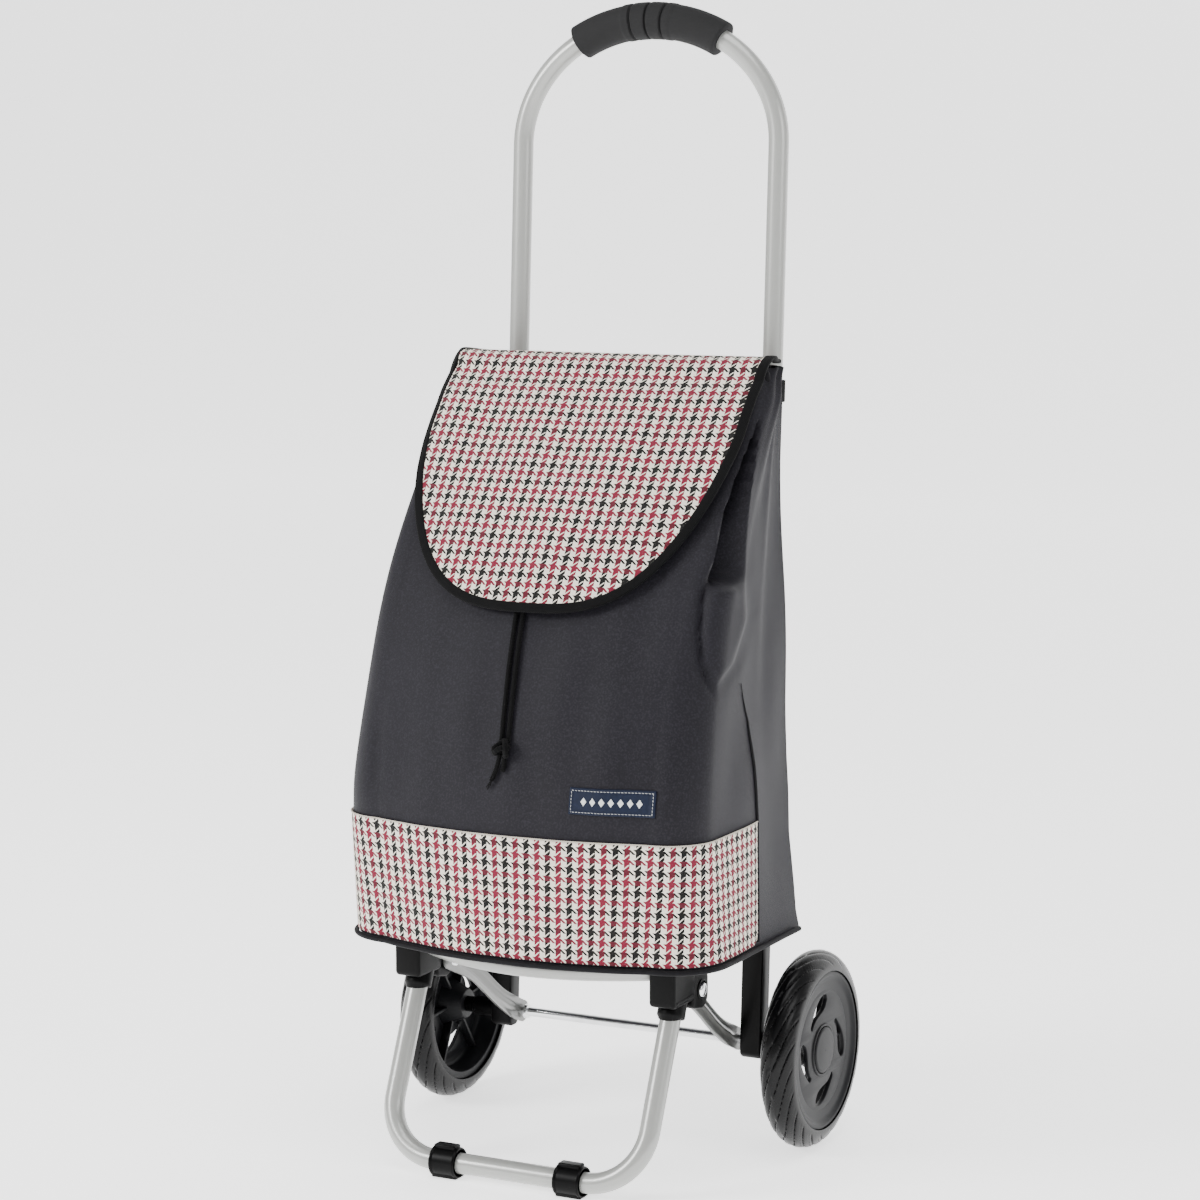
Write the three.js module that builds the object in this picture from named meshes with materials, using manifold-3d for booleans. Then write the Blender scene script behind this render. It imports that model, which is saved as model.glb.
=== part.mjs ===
// Two-wheeled shopping trolley with a fabric bag, a flap and a folding front leg.
// Millimetres, +Z up, front of the trolley towards -Y. Everything is first laid out
// with the axle at y = 0 and the floor at z = 0, and is centred over the floor at the end.
import * as THREE from 'three';
import { mergeVertices } from 'three/addons/utils/BufferGeometryUtils.js';
import Module from 'manifold-3d';

const wasm = await Module();
wasm.setup();
const { Manifold, Mesh: ManifoldMesh } = wasm;

// ---- driving dimensions -------------------------------------------------------------
const GAP = 0.3;               // clearance between neighbouring pieces
const LEAN = 0.0515;           // backward slope of the handle tubes and uprights
const TUBE_R = 8.5;            // all painted tubes
const TUBE_WALL = 1.3;
const AXLE_Z = 82.5;           // axle height, which is the wheel radius
const AXLE_R = 4;
const HANDLE_X = 119;          // half the distance between the handle tubes
const ARCH_START_Z = 831;      // where the handle tubes begin to curve
const ARCH_RISE = 102;
const GRIP_R = 15;
const GRIP_HALF_X = 66;
const UPRIGHT_W = 19;
const UPRIGHT_D = 17;
const UPRIGHT_TOP_Z = 330;
const UPRIGHT_BOTTOM_Z = 69.5;
const COLLAR_H = 46;
const WHEEL_R = 82.5;
const WHEEL_W = 30;
const WHEEL_X = 170;           // middle plane of a wheel
const HUB_R = 66;
const CAP_R = 19.3;
const LEG_X = 116.3;
const LEG_SLOPE = 0.443;       // how far the leg runs forward for each unit down
const LEG_TOP_Z = 160;
const FOOT_Y = -214.8;
const FOOT_Z = 12.6;
const LEG_BEND_R = 47;
const CLIP_X = 56.5;
const CLIP_HALF_W = 11.5;
const PIVOT_Y = -125;          // rivet between a strut and its knuckle
const PIVOT_Z = 156;
const STRUT_X = 104.4;
const STRUT_T = 6;
const BOW_Z = 176;
const BAG_BOTTOM_Z = 188;
const BAG_TOP_Z = 650;
const BAG_HALF_BOTTOM = 163;
const BAG_HALF_TOP = 149;
const CLOTH = 2.5;
const BAND_TOP_Z = 290;
const BAND_SIDE_Y = -86;
const FLAP_HALF = 149;
const FLAP_END_Z = 457;
const FLAP_LIFT = 8;           // how far the flap lies off the bag front
const BINDING_W = 8;
const HINGE_Y = 12;
const CORD_R = 2;

const TUBE_SIDES = 16;
const HOLLOW_SIDES = 12;
const WHEEL_SIDES = 36;

// ---- materials ----------------------------------------------------------------------
const paint = (color, roughness, metalness = 0) =>
  new THREE.MeshStandardMaterial({ color, roughness, metalness });
const GREY_PAINT = paint(0xbcbeba, 0.3);
const BLACK_PLASTIC = paint(0x1b1b1d, 0.5);
const BLACK_FOAM = paint(0x161616, 0.9);
const RUBBER = paint(0x222224, 0.7);
const HUB_PLASTIC = paint(0x35353a, 0.55);
const CHROME = paint(0xd8d8d8, 0.12, 1);
const CHARCOAL_CLOTH = paint(0x433f48, 0.85);
const CHECK_CLOTH = paint(0xb09a98, 0.9);
const TAPE = paint(0x1c1c1f, 0.85);
const PATCH = paint(0x1d2233, 0.6);

const group = new THREE.Group();
group.name = 'shopping_trolley';

function add(name, geometry, material) {
  const mesh = new THREE.Mesh(geometry, material);
  mesh.name = name;
  group.add(mesh);
  return mesh;
}

function pair(name, build, material) {
  for (const [side, sign] of [['left', -1], ['right', 1]]) {
    add(`${name}_${side}`, build(sign), material);
  }
}

// ---- solids -------------------------------------------------------------------------
/** A closed mesh from a list of points and triangles. */
function closedMesh(points, triangles) {
  const geometry = new THREE.BufferGeometry();
  const flat = new Float32Array(points.flatMap((p) => [p.x, p.y, p.z]));
  geometry.setAttribute('position', new THREE.BufferAttribute(flat, 3));
  geometry.setIndex(triangles);
  let volume = 0;
  for (let i = 0; i < triangles.length; i += 3) {
    const [a, b, c] = triangles.slice(i, i + 3).map((k) => points[k]);
    volume += a.dot(new THREE.Vector3().crossVectors(b, c));
  }
  if (volume < 0) {
    for (let i = 0; i < triangles.length; i += 3) {
      [triangles[i], triangles[i + 1]] = [triangles[i + 1], triangles[i]];
    }
    geometry.setIndex(triangles);
  }
  geometry.computeVertexNormals();
  return geometry;
}

/** The solid between two grids of points, rows[i][j], with its rim closed. */
function slab(outer, inner, loop = false) {
  const rows = outer.length;
  const cols = outer[0].length;
  const points = [...outer.flat(), ...inner.flat()];
  const at = (layer, i, j) => layer * rows * cols + i * cols + (j % cols);
  const triangles = [];
  const quad = (a, b, c, d) => triangles.push(a, b, c, a, c, d);
  const last = loop ? cols : cols - 1;
  for (let i = 0; i < rows - 1; i += 1) {
    for (let j = 0; j < last; j += 1) {
      quad(at(0, i, j), at(0, i, j + 1), at(0, i + 1, j + 1), at(0, i + 1, j));
      quad(at(1, i, j), at(1, i + 1, j), at(1, i + 1, j + 1), at(1, i, j + 1));
    }
  }
  for (let j = 0; j < last; j += 1) {
    quad(at(0, 0, j + 1), at(0, 0, j), at(1, 0, j), at(1, 0, j + 1));
    quad(at(0, rows - 1, j), at(0, rows - 1, j + 1), at(1, rows - 1, j + 1), at(1, rows - 1, j));
  }
  if (!loop) {
    for (let i = 0; i < rows - 1; i += 1) {
      quad(at(0, i, 0), at(0, i + 1, 0), at(1, i + 1, 0), at(1, i, 0));
      quad(at(0, i + 1, cols - 1), at(0, i, cols - 1), at(1, i, cols - 1), at(1, i + 1, cols - 1));
    }
  }
  return closedMesh(points, triangles);
}

/** A grid of points thickened to both sides along its own normals. */
function thicken(grid, thickness) {
  const rows = grid.length;
  const cols = grid[0].length;
  const shifted = (side) => grid.map((row, i) => row.map((p, j) => {
    const along = grid[Math.min(i + 1, rows - 1)][j].clone().sub(grid[Math.max(i - 1, 0)][j]);
    const across = row[Math.min(j + 1, cols - 1)].clone().sub(row[Math.max(j - 1, 0)]);
    const normal = across.cross(along).normalize();
    return p.clone().addScaledVector(normal, (side * thickness) / 2);
  }));
  return slab(shifted(1), shifted(-1));
}

/** A path through chosen stations, so that straight runs take one step. */
class StationPath extends THREE.Curve {
  constructor(points) {
    super();
    this.points = points;
  }

  getPoint(t, target = new THREE.Vector3()) {
    const spans = this.points.length - 1;
    const i = Math.min(Math.floor(t * spans + 1e-7), spans - 1);
    return target.lerpVectors(this.points[i], this.points[i + 1], t * spans - i);
  }

  getPointAt(t, target) {
    return this.getPoint(t, target);
  }

  getTangentAt(t, target = new THREE.Vector3()) {
    const spans = this.points.length - 1;
    const k = Math.round(t * spans);
    const step = (i) => this.points[i + 1].clone().sub(this.points[i]).normalize();
    target.copy(step(Math.min(k, spans - 1)));
    if (k > 0 && k < spans) target.add(step(k - 1)).normalize();
    return target;
  }
}

function disc(radius, sides, hole = 0) {
  const shape = new THREE.Shape();
  shape.absarc(0, 0, radius, 0, Math.PI * 2);
  if (hole > 0) {
    const inside = new THREE.Path();
    inside.absarc(0, 0, hole, 0, Math.PI * 2, true);
    shape.holes.push(inside);
  }
  return { shape, segments: sides / 2 };
}

function tube(points, radius, sides = TUBE_SIDES, hole = 0) {
  const { shape, segments } = disc(radius, sides, hole);
  return new THREE.ExtrudeGeometry(shape, {
    steps: points.length - 1,
    extrudePath: new StationPath(points),
    curveSegments: segments,
    bevelEnabled: false,
  });
}

/** A shape drawn in (y, z), extruded along X from x0 to x1. */
function extrudeX(shape, x0, x1, curveSegments = 8) {
  const geometry = new THREE.ExtrudeGeometry(shape, {
    depth: x1 - x0, bevelEnabled: false, curveSegments,
  });
  const turn = new THREE.Matrix4().set(0, 0, 1, x0, 1, 0, 0, 0, 0, 1, 0, 0, 0, 0, 0, 1);
  return geometry.applyMatrix4(turn);
}

function cylinderX(radius, x0, x1, y, z, sides = 24) {
  const geometry = new THREE.CylinderGeometry(radius, radius, Math.abs(x1 - x0), sides);
  geometry.rotateZ(-Math.PI / 2);
  return geometry.translate((x0 + x1) / 2, y, z);
}

function ringX(outer, hole, x0, x1, y, z, sides = 24) {
  const { shape, segments } = disc(outer, sides, hole);
  const lo = Math.min(x0, x1);
  return extrudeX(shape, lo, lo + Math.abs(x1 - x0), segments).translate(0, y, z);
}

function cylinderAlong(from, to, radius, sides = TUBE_SIDES) {
  return tube([from, to], radius, sides);
}

function box(x0, x1, y0, y1, z0, z1) {
  const geometry = new THREE.BoxGeometry(x1 - x0, y1 - y0, z1 - z0);
  return geometry.translate((x0 + x1) / 2, (y0 + y1) / 2, (z0 + z1) / 2);
}

function solidOf(geometry) {
  const plain = new THREE.BufferGeometry();
  plain.setAttribute('position', geometry.getAttribute('position'));
  if (geometry.index) plain.setIndex(geometry.index);
  const merged = mergeVertices(plain, 1e-4);
  return new Manifold(new ManifoldMesh({
    numProp: 3,
    vertProperties: new Float32Array(merged.getAttribute('position').array),
    triVerts: new Uint32Array(merged.index.array),
  }));
}

/** The pieces joined into one solid, with the tools cut away. */
function carve(pieces, tools = []) {
  let body = solidOf(pieces[0]);
  for (const piece of pieces.slice(1)) body = body.add(solidOf(piece));
  for (const tool of tools) body = body.subtract(solidOf(tool));
  const mesh = body.getMesh();
  const geometry = new THREE.BufferGeometry();
  geometry.setAttribute('position', new THREE.BufferAttribute(mesh.vertProperties, 3));
  geometry.setIndex(new THREE.BufferAttribute(mesh.triVerts, 1));
  geometry.computeVertexNormals();
  return geometry;
}

const V = (x, y, z) => new THREE.Vector3(x, y, z);
const leanY = (z) => LEAN * (z - AXLE_Z) - 2.5;

// ---- handle -------------------------------------------------------------------------
function archPoint(angle) {
  const z = ARCH_START_Z + ARCH_RISE * Math.sin(angle);
  return V(-HANDLE_X * Math.cos(angle), leanY(z), z);
}

function handleStations() {
  const stations = [V(-HANDLE_X, leanY(UPRIGHT_TOP_Z + 1), UPRIGHT_TOP_Z + 1)];
  const steps = 22;
  for (let i = 0; i <= steps; i += 1) stations.push(archPoint((Math.PI * i) / steps));
  stations.push(V(HANDLE_X, leanY(UPRIGHT_TOP_Z + 1), UPRIGHT_TOP_Z + 1));
  return stations;
}

add('handle_tube', tube(handleStations(), TUBE_R, HOLLOW_SIDES, TUBE_R - TUBE_WALL), GREY_PAINT);

const gripEnd = Math.acos(GRIP_HALF_X / HANDLE_X);
const gripStations = [];
for (let i = 0; i <= 12; i += 1) {
  gripStations.push(archPoint(gripEnd + ((Math.PI - 2 * gripEnd) * i) / 12));
}
add('handle_grip', tube(gripStations, GRIP_R, TUBE_SIDES, TUBE_R + 0.8), BLACK_FOAM);

// ---- uprights, collars and axle -----------------------------------------------------
function uprightSolid(sign) {
  const half = UPRIGHT_D / 2;
  const shape = new THREE.Shape();
  shape.moveTo(leanY(UPRIGHT_BOTTOM_Z) - half + 4, UPRIGHT_BOTTOM_Z);
  shape.lineTo(leanY(UPRIGHT_BOTTOM_Z) + half - 4, UPRIGHT_BOTTOM_Z);
  shape.lineTo(leanY(UPRIGHT_BOTTOM_Z) + half, UPRIGHT_BOTTOM_Z + 4);
  shape.lineTo(leanY(UPRIGHT_TOP_Z) + half, UPRIGHT_TOP_Z);
  shape.lineTo(leanY(UPRIGHT_TOP_Z) - half, UPRIGHT_TOP_Z);
  shape.lineTo(leanY(UPRIGHT_BOTTOM_Z) - half, UPRIGHT_BOTTOM_Z + 4);
  shape.closePath();
  const bore = new THREE.Path();
  bore.absarc(0, AXLE_Z, AXLE_R + GAP, 0, Math.PI * 2, true);
  shape.holes.push(bore);
  const inner = sign * HANDLE_X - UPRIGHT_W / 2;
  return extrudeX(shape, inner, inner + UPRIGHT_W, 8);
}

pair('upright', uprightSolid, BLACK_PLASTIC);

function collarSolid(sign) {
  const x = sign * HANDLE_X;
  const z0 = UPRIGHT_TOP_Z - COLLAR_H / 2;
  const z1 = UPRIGHT_TOP_Z + COLLAR_H / 2;
  const block = (halfX, halfY, low, high) => {
    const shape = new THREE.Shape();
    shape.moveTo(leanY(low) - halfY, low);
    shape.lineTo(leanY(low) + halfY, low);
    shape.lineTo(leanY(high) + halfY, high);
    shape.lineTo(leanY(high) - halfY, high);
    shape.closePath();
    return extrudeX(shape, x - halfX, x + halfX);
  };
  const outer = block(12.5, 11.2, z0, z1);
  const socket = block(UPRIGHT_W / 2 + GAP, UPRIGHT_D / 2 + GAP, z0 - 5, UPRIGHT_TOP_Z);
  const low = UPRIGHT_TOP_Z - 3;
  const bore = cylinderAlong(V(x, leanY(low), low), V(x, leanY(z1 + 5), z1 + 5), TUBE_R + GAP);
  return carve([outer], [socket, bore]);
}

pair('tube_collar', collarSolid, BLACK_PLASTIC);

const crossZ = 222;
add('rear_crossbar', box(
  -HANDLE_X + UPRIGHT_W / 2 + GAP, HANDLE_X - UPRIGHT_W / 2 - GAP,
  leanY(crossZ) - 6, leanY(crossZ) + 6, crossZ - 10, crossZ + 10,
), BLACK_PLASTIC);

function boltSolid(sign) {
  const face = sign * (HANDLE_X + UPRIGHT_W / 2 + GAP);
  return cylinderX(5.5, face, face + sign * 3, leanY(crossZ), crossZ, 16);
}
pair('crossbar_bolt', boltSolid, CHROME);

const axleEnd = WHEEL_X + WHEEL_W / 2 - 4;
add('axle', cylinderX(AXLE_R, -axleEnd, axleEnd, 0, AXLE_Z, 20), CHROME);

const wheelInner = WHEEL_X - WHEEL_W / 2;
pair('axle_spacer', (sign) => {
  const from = sign * (HANDLE_X + UPRIGHT_W / 2 + GAP);
  return ringX(8, AXLE_R + GAP, from, sign * (wheelInner + 3 - GAP), 0, AXLE_Z, 20);
}, BLACK_PLASTIC);

// ---- wheels -------------------------------------------------------------------------
/** A profile of (radius, x) turned about the axle, for the wheel on one side. */
function turned(profile, sign) {
  const points = profile.map(([r, x]) => new THREE.Vector2(r, x));
  const geometry = new THREE.LatheGeometry([...points, points[0]], WHEEL_SIDES);
  geometry.rotateZ(-Math.PI / 2);
  if (sign < 0) geometry.rotateY(Math.PI);
  return geometry.translate(sign * WHEEL_X, 0, AXLE_Z);
}

const halfW = WHEEL_W / 2;
pair('tyre', (sign) => carve([turned([
  [HUB_R + GAP, halfW - 2.5], [HUB_R + GAP, -halfW + 2.5], [HUB_R + 5, -halfW],
  [WHEEL_R - 8, -halfW + 1.5], [WHEEL_R - 2.5, -halfW + 7], [WHEEL_R, -4],
  [WHEEL_R, 4], [WHEEL_R - 2.5, halfW - 7], [WHEEL_R - 8, halfW - 1.5], [HUB_R + 5, halfW],
], sign)]), RUBBER);

/** A curved tear-drop slot cut through the hub web. */
function slotTool(sign, angle) {
  const shape = new THREE.Shape();
  const steps = 8;
  const mid = 37;
  const side = (i, edge) => {
    const t = i / steps;
    const width = 2 + 5.5 * Math.sin(Math.PI * Math.min(1, t * 0.75 + 0.12));
    const a = angle + sign * (t - 0.5) * 0.95;
    const r = mid + 5 * (t - 0.5) + edge * width;
    return [r * Math.cos(a), r * Math.sin(a)];
  };
  for (let i = 0; i <= steps; i += 1) {
    const [y, z] = side(i, 1);
    if (i === 0) shape.moveTo(y, z);
    else shape.lineTo(y, z);
  }
  for (let i = steps; i >= 0; i -= 1) shape.lineTo(...side(i, -1));
  shape.closePath();
  return extrudeX(shape, sign * WHEEL_X - 20, sign * WHEEL_X + 20).translate(0, 0, AXLE_Z);
}

function hubSolid(sign) {
  const bore = AXLE_R + GAP;
  const body = turned([
    [bore, -halfW + 3], [14, -halfW + 3], [16, 1], [50, 3], [57, -halfW + 4], [HUB_R, -halfW + 3],
    [HUB_R, halfW - 2], [61, halfW - 2], [52, 8], [24, 6.5], [22, 9], [CAP_R + 0.6, 9],
    [CAP_R + 0.6, 4], [bore, 4],
  ], sign);
  const tools = [];
  for (let i = 0; i < 4; i += 1) tools.push(slotTool(sign, 0.6 + (i * Math.PI) / 2));
  return carve([body], tools);
}
pair('hub', hubSolid, HUB_PLASTIC);

pair('hub_cap', (sign) => {
  const inner = sign * (WHEEL_X + 11.6);
  return cylinderX(CAP_R, inner, sign * (WHEEL_X + 14.8), 0, AXLE_Z, 28);
}, HUB_PLASTIC);

pair('axle_nut', (sign) => {
  const inner = sign * (WHEEL_X + 4 + GAP);
  return ringX(8.5, AXLE_R + 0.15, inner, sign * (WHEEL_X + 8), 0, AXLE_Z, 12);
}, CHROME);

// ---- struts -------------------------------------------------------------------------
function strutSolid(sign) {
  const run = Math.hypot(PIVOT_Y, PIVOT_Z - AXLE_Z);
  const along = [PIVOT_Y / run, (PIVOT_Z - AXLE_Z) / run];
  const across = [-along[1], along[0]];
  const place = (s, w) => [along[0] * s + across[0] * w, AXLE_Z + along[1] * s + across[1] * w];
  const shape = new THREE.Shape();
  const outline = [];
  const half = Math.PI / 2;
  for (let i = 0; i <= 8; i += 1) {
    const a = half + (Math.PI * i) / 8;
    outline.push(place(9.5 * Math.cos(a), 9.5 * Math.sin(a)));
  }
  outline.push(place(60, -8));
  for (let i = 0; i <= 8; i += 1) {
    const a = -half + (Math.PI * i) / 8;
    outline.push(place(run + 9 * Math.cos(a), 9 * Math.sin(a)));
  }
  outline.push(place(60, 8));
  shape.setFromPoints(outline.map(([y, z]) => new THREE.Vector2(y, z)));
  for (const [y, z, r] of [[0, AXLE_Z, AXLE_R + GAP], [PIVOT_Y, PIVOT_Z, 3.3]]) {
    const hole = new THREE.Path();
    hole.absarc(y, z, r, 0, Math.PI * 2, true);
    shape.holes.push(hole);
  }
  const x = sign * STRUT_X;
  return extrudeX(shape, x - STRUT_T / 2, x + STRUT_T / 2, 8);
}
pair('strut', strutSolid, GREY_PAINT);

// ---- front leg, bow and knuckles ----------------------------------------------------
const legY = (z) => FOOT_Y + LEG_SLOPE * (z - FOOT_Z);

function legStations() {
  const slant = Math.hypot(1, LEG_SLOPE);
  const at = (x, up) => V(x, FOOT_Y + (LEG_SLOPE * up) / slant, FOOT_Z + up / slant);
  const top = (LEG_TOP_Z - FOOT_Z) * slant;
  const half = [V(-LEG_X, at(0, top).y, at(0, top).z)];
  const steps = 8;
  for (let i = 0; i <= steps; i += 1) {
    const a = (Math.PI / 2) * (i / steps);
    const x = -LEG_X + LEG_BEND_R * (1 - Math.cos(a));
    half.push(at(x, LEG_BEND_R * (1 - Math.sin(a))));
  }
  const mirror = half.map((p) => V(-p.x, p.y, p.z)).reverse();
  return [...half, ...mirror];
}
add('leg_tube', tube(legStations(), TUBE_R, HOLLOW_SIDES, TUBE_R - TUBE_WALL), GREY_PAINT);

const BOW_END_Y = -155;
const BOW_FRONT_Y = -196;
function bowPoint(x) {
  const reach = 1 - (x / 112) ** 2;
  return V(x, BOW_END_Y + (BOW_FRONT_Y - BOW_END_Y) * reach, BOW_Z);
}
const bowStations = [];
for (let i = 0; i <= 14; i += 1) bowStations.push(bowPoint(-112 + 16 * i));
add('bow_tube', tube(bowStations, 7.5, HOLLOW_SIDES, 7.5 - TUBE_WALL), GREY_PAINT);

function knuckleSolid(sign) {
  const x0 = Math.min(sign * 105, sign * 128);
  const x1 = x0 + 23;
  const body = box(x0, x1, -176, -137, 150, 186.5);
  const lowZ = 139;
  const collar = cylinderAlong(
    V(sign * LEG_X, legY(lowZ), lowZ), V(sign * LEG_X, legY(158), 158), 11.5,
  );
  const e0 = Math.min(sign * 107.8, sign * 128);
  const ear = new THREE.Shape();
  ear.moveTo(-140, 180);
  ear.lineTo(-122, 178);
  ear.lineTo(-111.5, 168);
  ear.lineTo(-111.5, 146);
  ear.lineTo(-120, 139);
  ear.lineTo(-140, 143);
  ear.closePath();
  const earSolid = extrudeX(ear, e0, e0 + 20.2);
  const leg = cylinderAlong(
    V(sign * LEG_X, legY(120), 120), V(sign * LEG_X, legY(161), 161), TUBE_R + GAP,
  );
  const bowEnd = bowPoint(sign * 112);
  const bowNext = bowPoint(sign * 96);
  const inward = bowNext.clone().sub(bowEnd).normalize();
  const bow = cylinderAlong(
    bowEnd.clone().addScaledVector(inward, -0.6), bowNext.clone().addScaledVector(inward, 30), 7.9,
  );
  const pin = cylinderX(3.3, e0 - 5, e0 + 30, PIVOT_Y, PIVOT_Z, 16);
  return carve([body, collar, earSolid], [leg, bow, pin]);
}
pair('knuckle', knuckleSolid, BLACK_PLASTIC);

pair('strut_rivet', (sign) => {
  const shank = cylinderX(3, sign * 98, sign * 131, PIVOT_Y, PIVOT_Z, 16);
  const outer = cylinderX(6, sign * (128 + GAP), sign * 131, PIVOT_Y, PIVOT_Z, 16);
  const inner = cylinderX(5.5, sign * 98, sign * (STRUT_X - STRUT_T / 2 - GAP), PIVOT_Y, PIVOT_Z, 16);
  return carve([shank, outer, inner]);
}, CHROME);

pair('foot_clip', (sign) => {
  const x = sign * CLIP_X;
  const sleeve = cylinderX(TUBE_R + 3.6, x - CLIP_HALF_W, x + CLIP_HALF_W, FOOT_Y, FOOT_Z, 20);
  const pad = box(x - 11, x + 11, FOOT_Y - 7, FOOT_Y + 7, 0, 8);
  const tab = box(x - 11, x + 9, FOOT_Y - 4, FOOT_Y + 6, FOOT_Z + 9, FOOT_Z + 14.5);
  const bore = cylinderX(TUBE_R + GAP, x - 20, x + 20, FOOT_Y, FOOT_Z, TUBE_SIDES);
  return carve([sleeve, pad, tab], [bore]);
}, BLACK_PLASTIC);

// ---- bag ----------------------------------------------------------------------------
const bagHalf = (z) => BAG_HALF_BOTTOM
  + ((BAG_HALF_TOP - BAG_HALF_BOTTOM) * (z - BAG_BOTTOM_Z)) / (BAG_TOP_Z - BAG_BOTTOM_Z);
const bagBackY = (z) => leanY(z) - 12.2;
const cornerR = (z) => 18 + (26 * (BAG_TOP_Z - z)) / (BAG_TOP_Z - BAG_BOTTOM_Z);

function edgeY(z) {
  if (z < BAND_TOP_Z) return -213 + (8 * (BAND_TOP_Z - z)) / (BAND_TOP_Z - BAG_BOTTOM_Z);
  const fall = 1 - (BAG_TOP_Z - z) / (BAG_TOP_Z - BAND_TOP_Z);
  return -(35 + 178 * (1 - Math.max(fall, 0) ** 1.75));
}

const bowDepth = (z) => 8 + (14 * (BAG_TOP_Z - z)) / (BAG_TOP_Z - BAG_BOTTOM_Z);

/** Front of the bag at (x, z), pushed out by the given distance. */
function frontY(x, z, out) {
  const half = bagHalf(z) + out;
  const r = cornerR(z) + out;
  const flat = half - r;
  const ax = Math.min(Math.abs(x), half);
  if (ax <= flat) return edgeY(z) - out - bowDepth(z) * (1 - (ax / flat) ** 2);
  return edgeY(z) - out + r - Math.sqrt(Math.max(r * r - (ax - flat) ** 2, 0));
}

/** One row of the front and its rounded corners at height z. */
function frontRow(z, out) {
  const half = bagHalf(z) + out;
  const r = cornerR(z) + out;
  const flat = half - r;
  const row = [];
  for (let i = 0; i < 5; i += 1) {
    const a = (Math.PI / 2) * (i / 5);
    row.push(V(-flat - r * Math.cos(a), edgeY(z) - out + r * (1 - Math.sin(a)), z));
  }
  for (let i = 0; i <= 10; i += 1) {
    const x = flat * (i / 5 - 1);
    row.push(V(x, frontY(x, z, out), z));
  }
  for (let i = 4; i >= 0; i -= 1) {
    const a = (Math.PI / 2) * (i / 5);
    row.push(V(flat + r * Math.cos(a), edgeY(z) - out + r * (1 - Math.sin(a)), z));
  }
  return row;
}

function levels(low, high, count) {
  return Array.from({ length: count + 1 }, (_, i) => low + ((high - low) * i) / count);
}

const bagLevels = levels(BAG_BOTTOM_Z, BAG_TOP_Z, 9);
add('bag_front', slab(
  bagLevels.map((z) => frontRow(z, 0)),
  bagLevels.map((z) => frontRow(z, -CLOTH)),
), CHARCOAL_CLOTH);

pair('bag_side', (sign) => {
  const row = (z, out) => {
    const x = sign * (bagHalf(z) + out);
    return [V(x, edgeY(z) + cornerR(z) + GAP, z), V(x, bagBackY(z) - CLOTH - GAP, z)];
  };
  return slab(bagLevels.map((z) => row(z, 0)), bagLevels.map((z) => row(z, -CLOTH)));
}, CHARCOAL_CLOTH);

add('bag_back', slab(
  [BAG_BOTTOM_Z, BAG_TOP_Z].map((z) => [
    V(-bagHalf(z), bagBackY(z), z), V(bagHalf(z), bagBackY(z), z)]),
  [BAG_BOTTOM_Z, BAG_TOP_Z].map((z) => [
    V(-bagHalf(z), bagBackY(z) - CLOTH, z), V(bagHalf(z), bagBackY(z) - CLOTH, z)]),
), CHARCOAL_CLOTH);

function bottomSolid() {
  const inset = -CLOTH - GAP;
  const row = frontRow(BAG_BOTTOM_Z, inset).map((p) => new THREE.Vector2(p.x, p.y));
  const back = bagBackY(BAG_BOTTOM_Z) - CLOTH - GAP;
  const half = bagHalf(BAG_BOTTOM_Z) + inset - 0.2;
  const shape = new THREE.Shape([
    ...row.map((p) => new THREE.Vector2(THREE.MathUtils.clamp(p.x, -half, half), p.y)),
    new THREE.Vector2(half, back), new THREE.Vector2(-half, back),
  ]);
  const geometry = new THREE.ExtrudeGeometry(shape, { depth: CLOTH, bevelEnabled: false });
  return geometry.translate(0, 0, BAG_BOTTOM_Z);
}
add('bag_bottom', bottomSolid(), CHARCOAL_CLOTH);

/** A row round the front and a little way along both sides. */
function wrapRow(z, out, sideY) {
  const half = bagHalf(z) + out;
  return [V(-half, sideY, z), ...frontRow(z, out), V(half, sideY, z)];
}

const bandLevels = levels(BAG_BOTTOM_Z + 3, BAND_TOP_Z, 3);
add('check_band', slab(
  bandLevels.map((z) => wrapRow(z, 1.7, BAND_SIDE_Y)),
  bandLevels.map((z) => wrapRow(z, GAP + 0.1, BAND_SIDE_Y)),
), CHECK_CLOTH);

const pipingZ = BAG_BOTTOM_Z - 0.6;
add('bottom_piping', tube(
  wrapRow(pipingZ, 2.9, bagBackY(pipingZ) - 6).map((p) => p.setZ(pipingZ)), 2.1, 8,
), TAPE);

/** The gathered hem inside the mouth, one closed ring. */
function hemSolid() {
  const row = (z, out) => {
    const front = frontRow(z, -out);
    const half = bagHalf(z) - out;
    const back = bagBackY(z) - out;
    return [V(-half, back, z), ...front, V(half, back, z)];
  };
  const hemLevels = [BAG_TOP_Z - 26, BAG_TOP_Z - 2];
  return slab(
    hemLevels.map((z) => row(z, CLOTH + 3.6)),
    hemLevels.map((z) => row(z, CLOTH + 5.6)),
    true,
  );
}
add('mouth_hem', hemSolid(), TAPE);

function patchGrid(out) {
  return levels(311, 332, 1).map((z) => levels(60, 128, 6).map((x) => V(x, frontY(x, z, out), z)));
}
add('label_patch', slab(patchGrid(1.9), patchGrid(GAP + 0.2)), PATCH);

// ---- loops that hold the bag to the tubes -------------------------------------------
function loopSolid(sign, z, halfX, front) {
  const y = leanY(z);
  const x = sign * HANDLE_X;
  const shape = new THREE.Shape();
  const halfH = 9;
  shape.absarc(0, 0, halfX + 2, 0, Math.PI * 2);
  const hole = new THREE.Path();
  hole.absarc(0, 0, halfX, 0, Math.PI * 2, true);
  shape.holes.push(hole);
  const ring = new THREE.ExtrudeGeometry(shape, { depth: 2 * halfH, bevelEnabled: false, curveSegments: 10 });
  return ring.translate(x, y, z - halfH);
}
for (const [name, z] of [['upper', 628], ['middle', 420]]) {
  pair(`${name}_loop`, (sign) => loopSolid(sign, z, TUBE_R + 0.9), TAPE);
}

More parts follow.
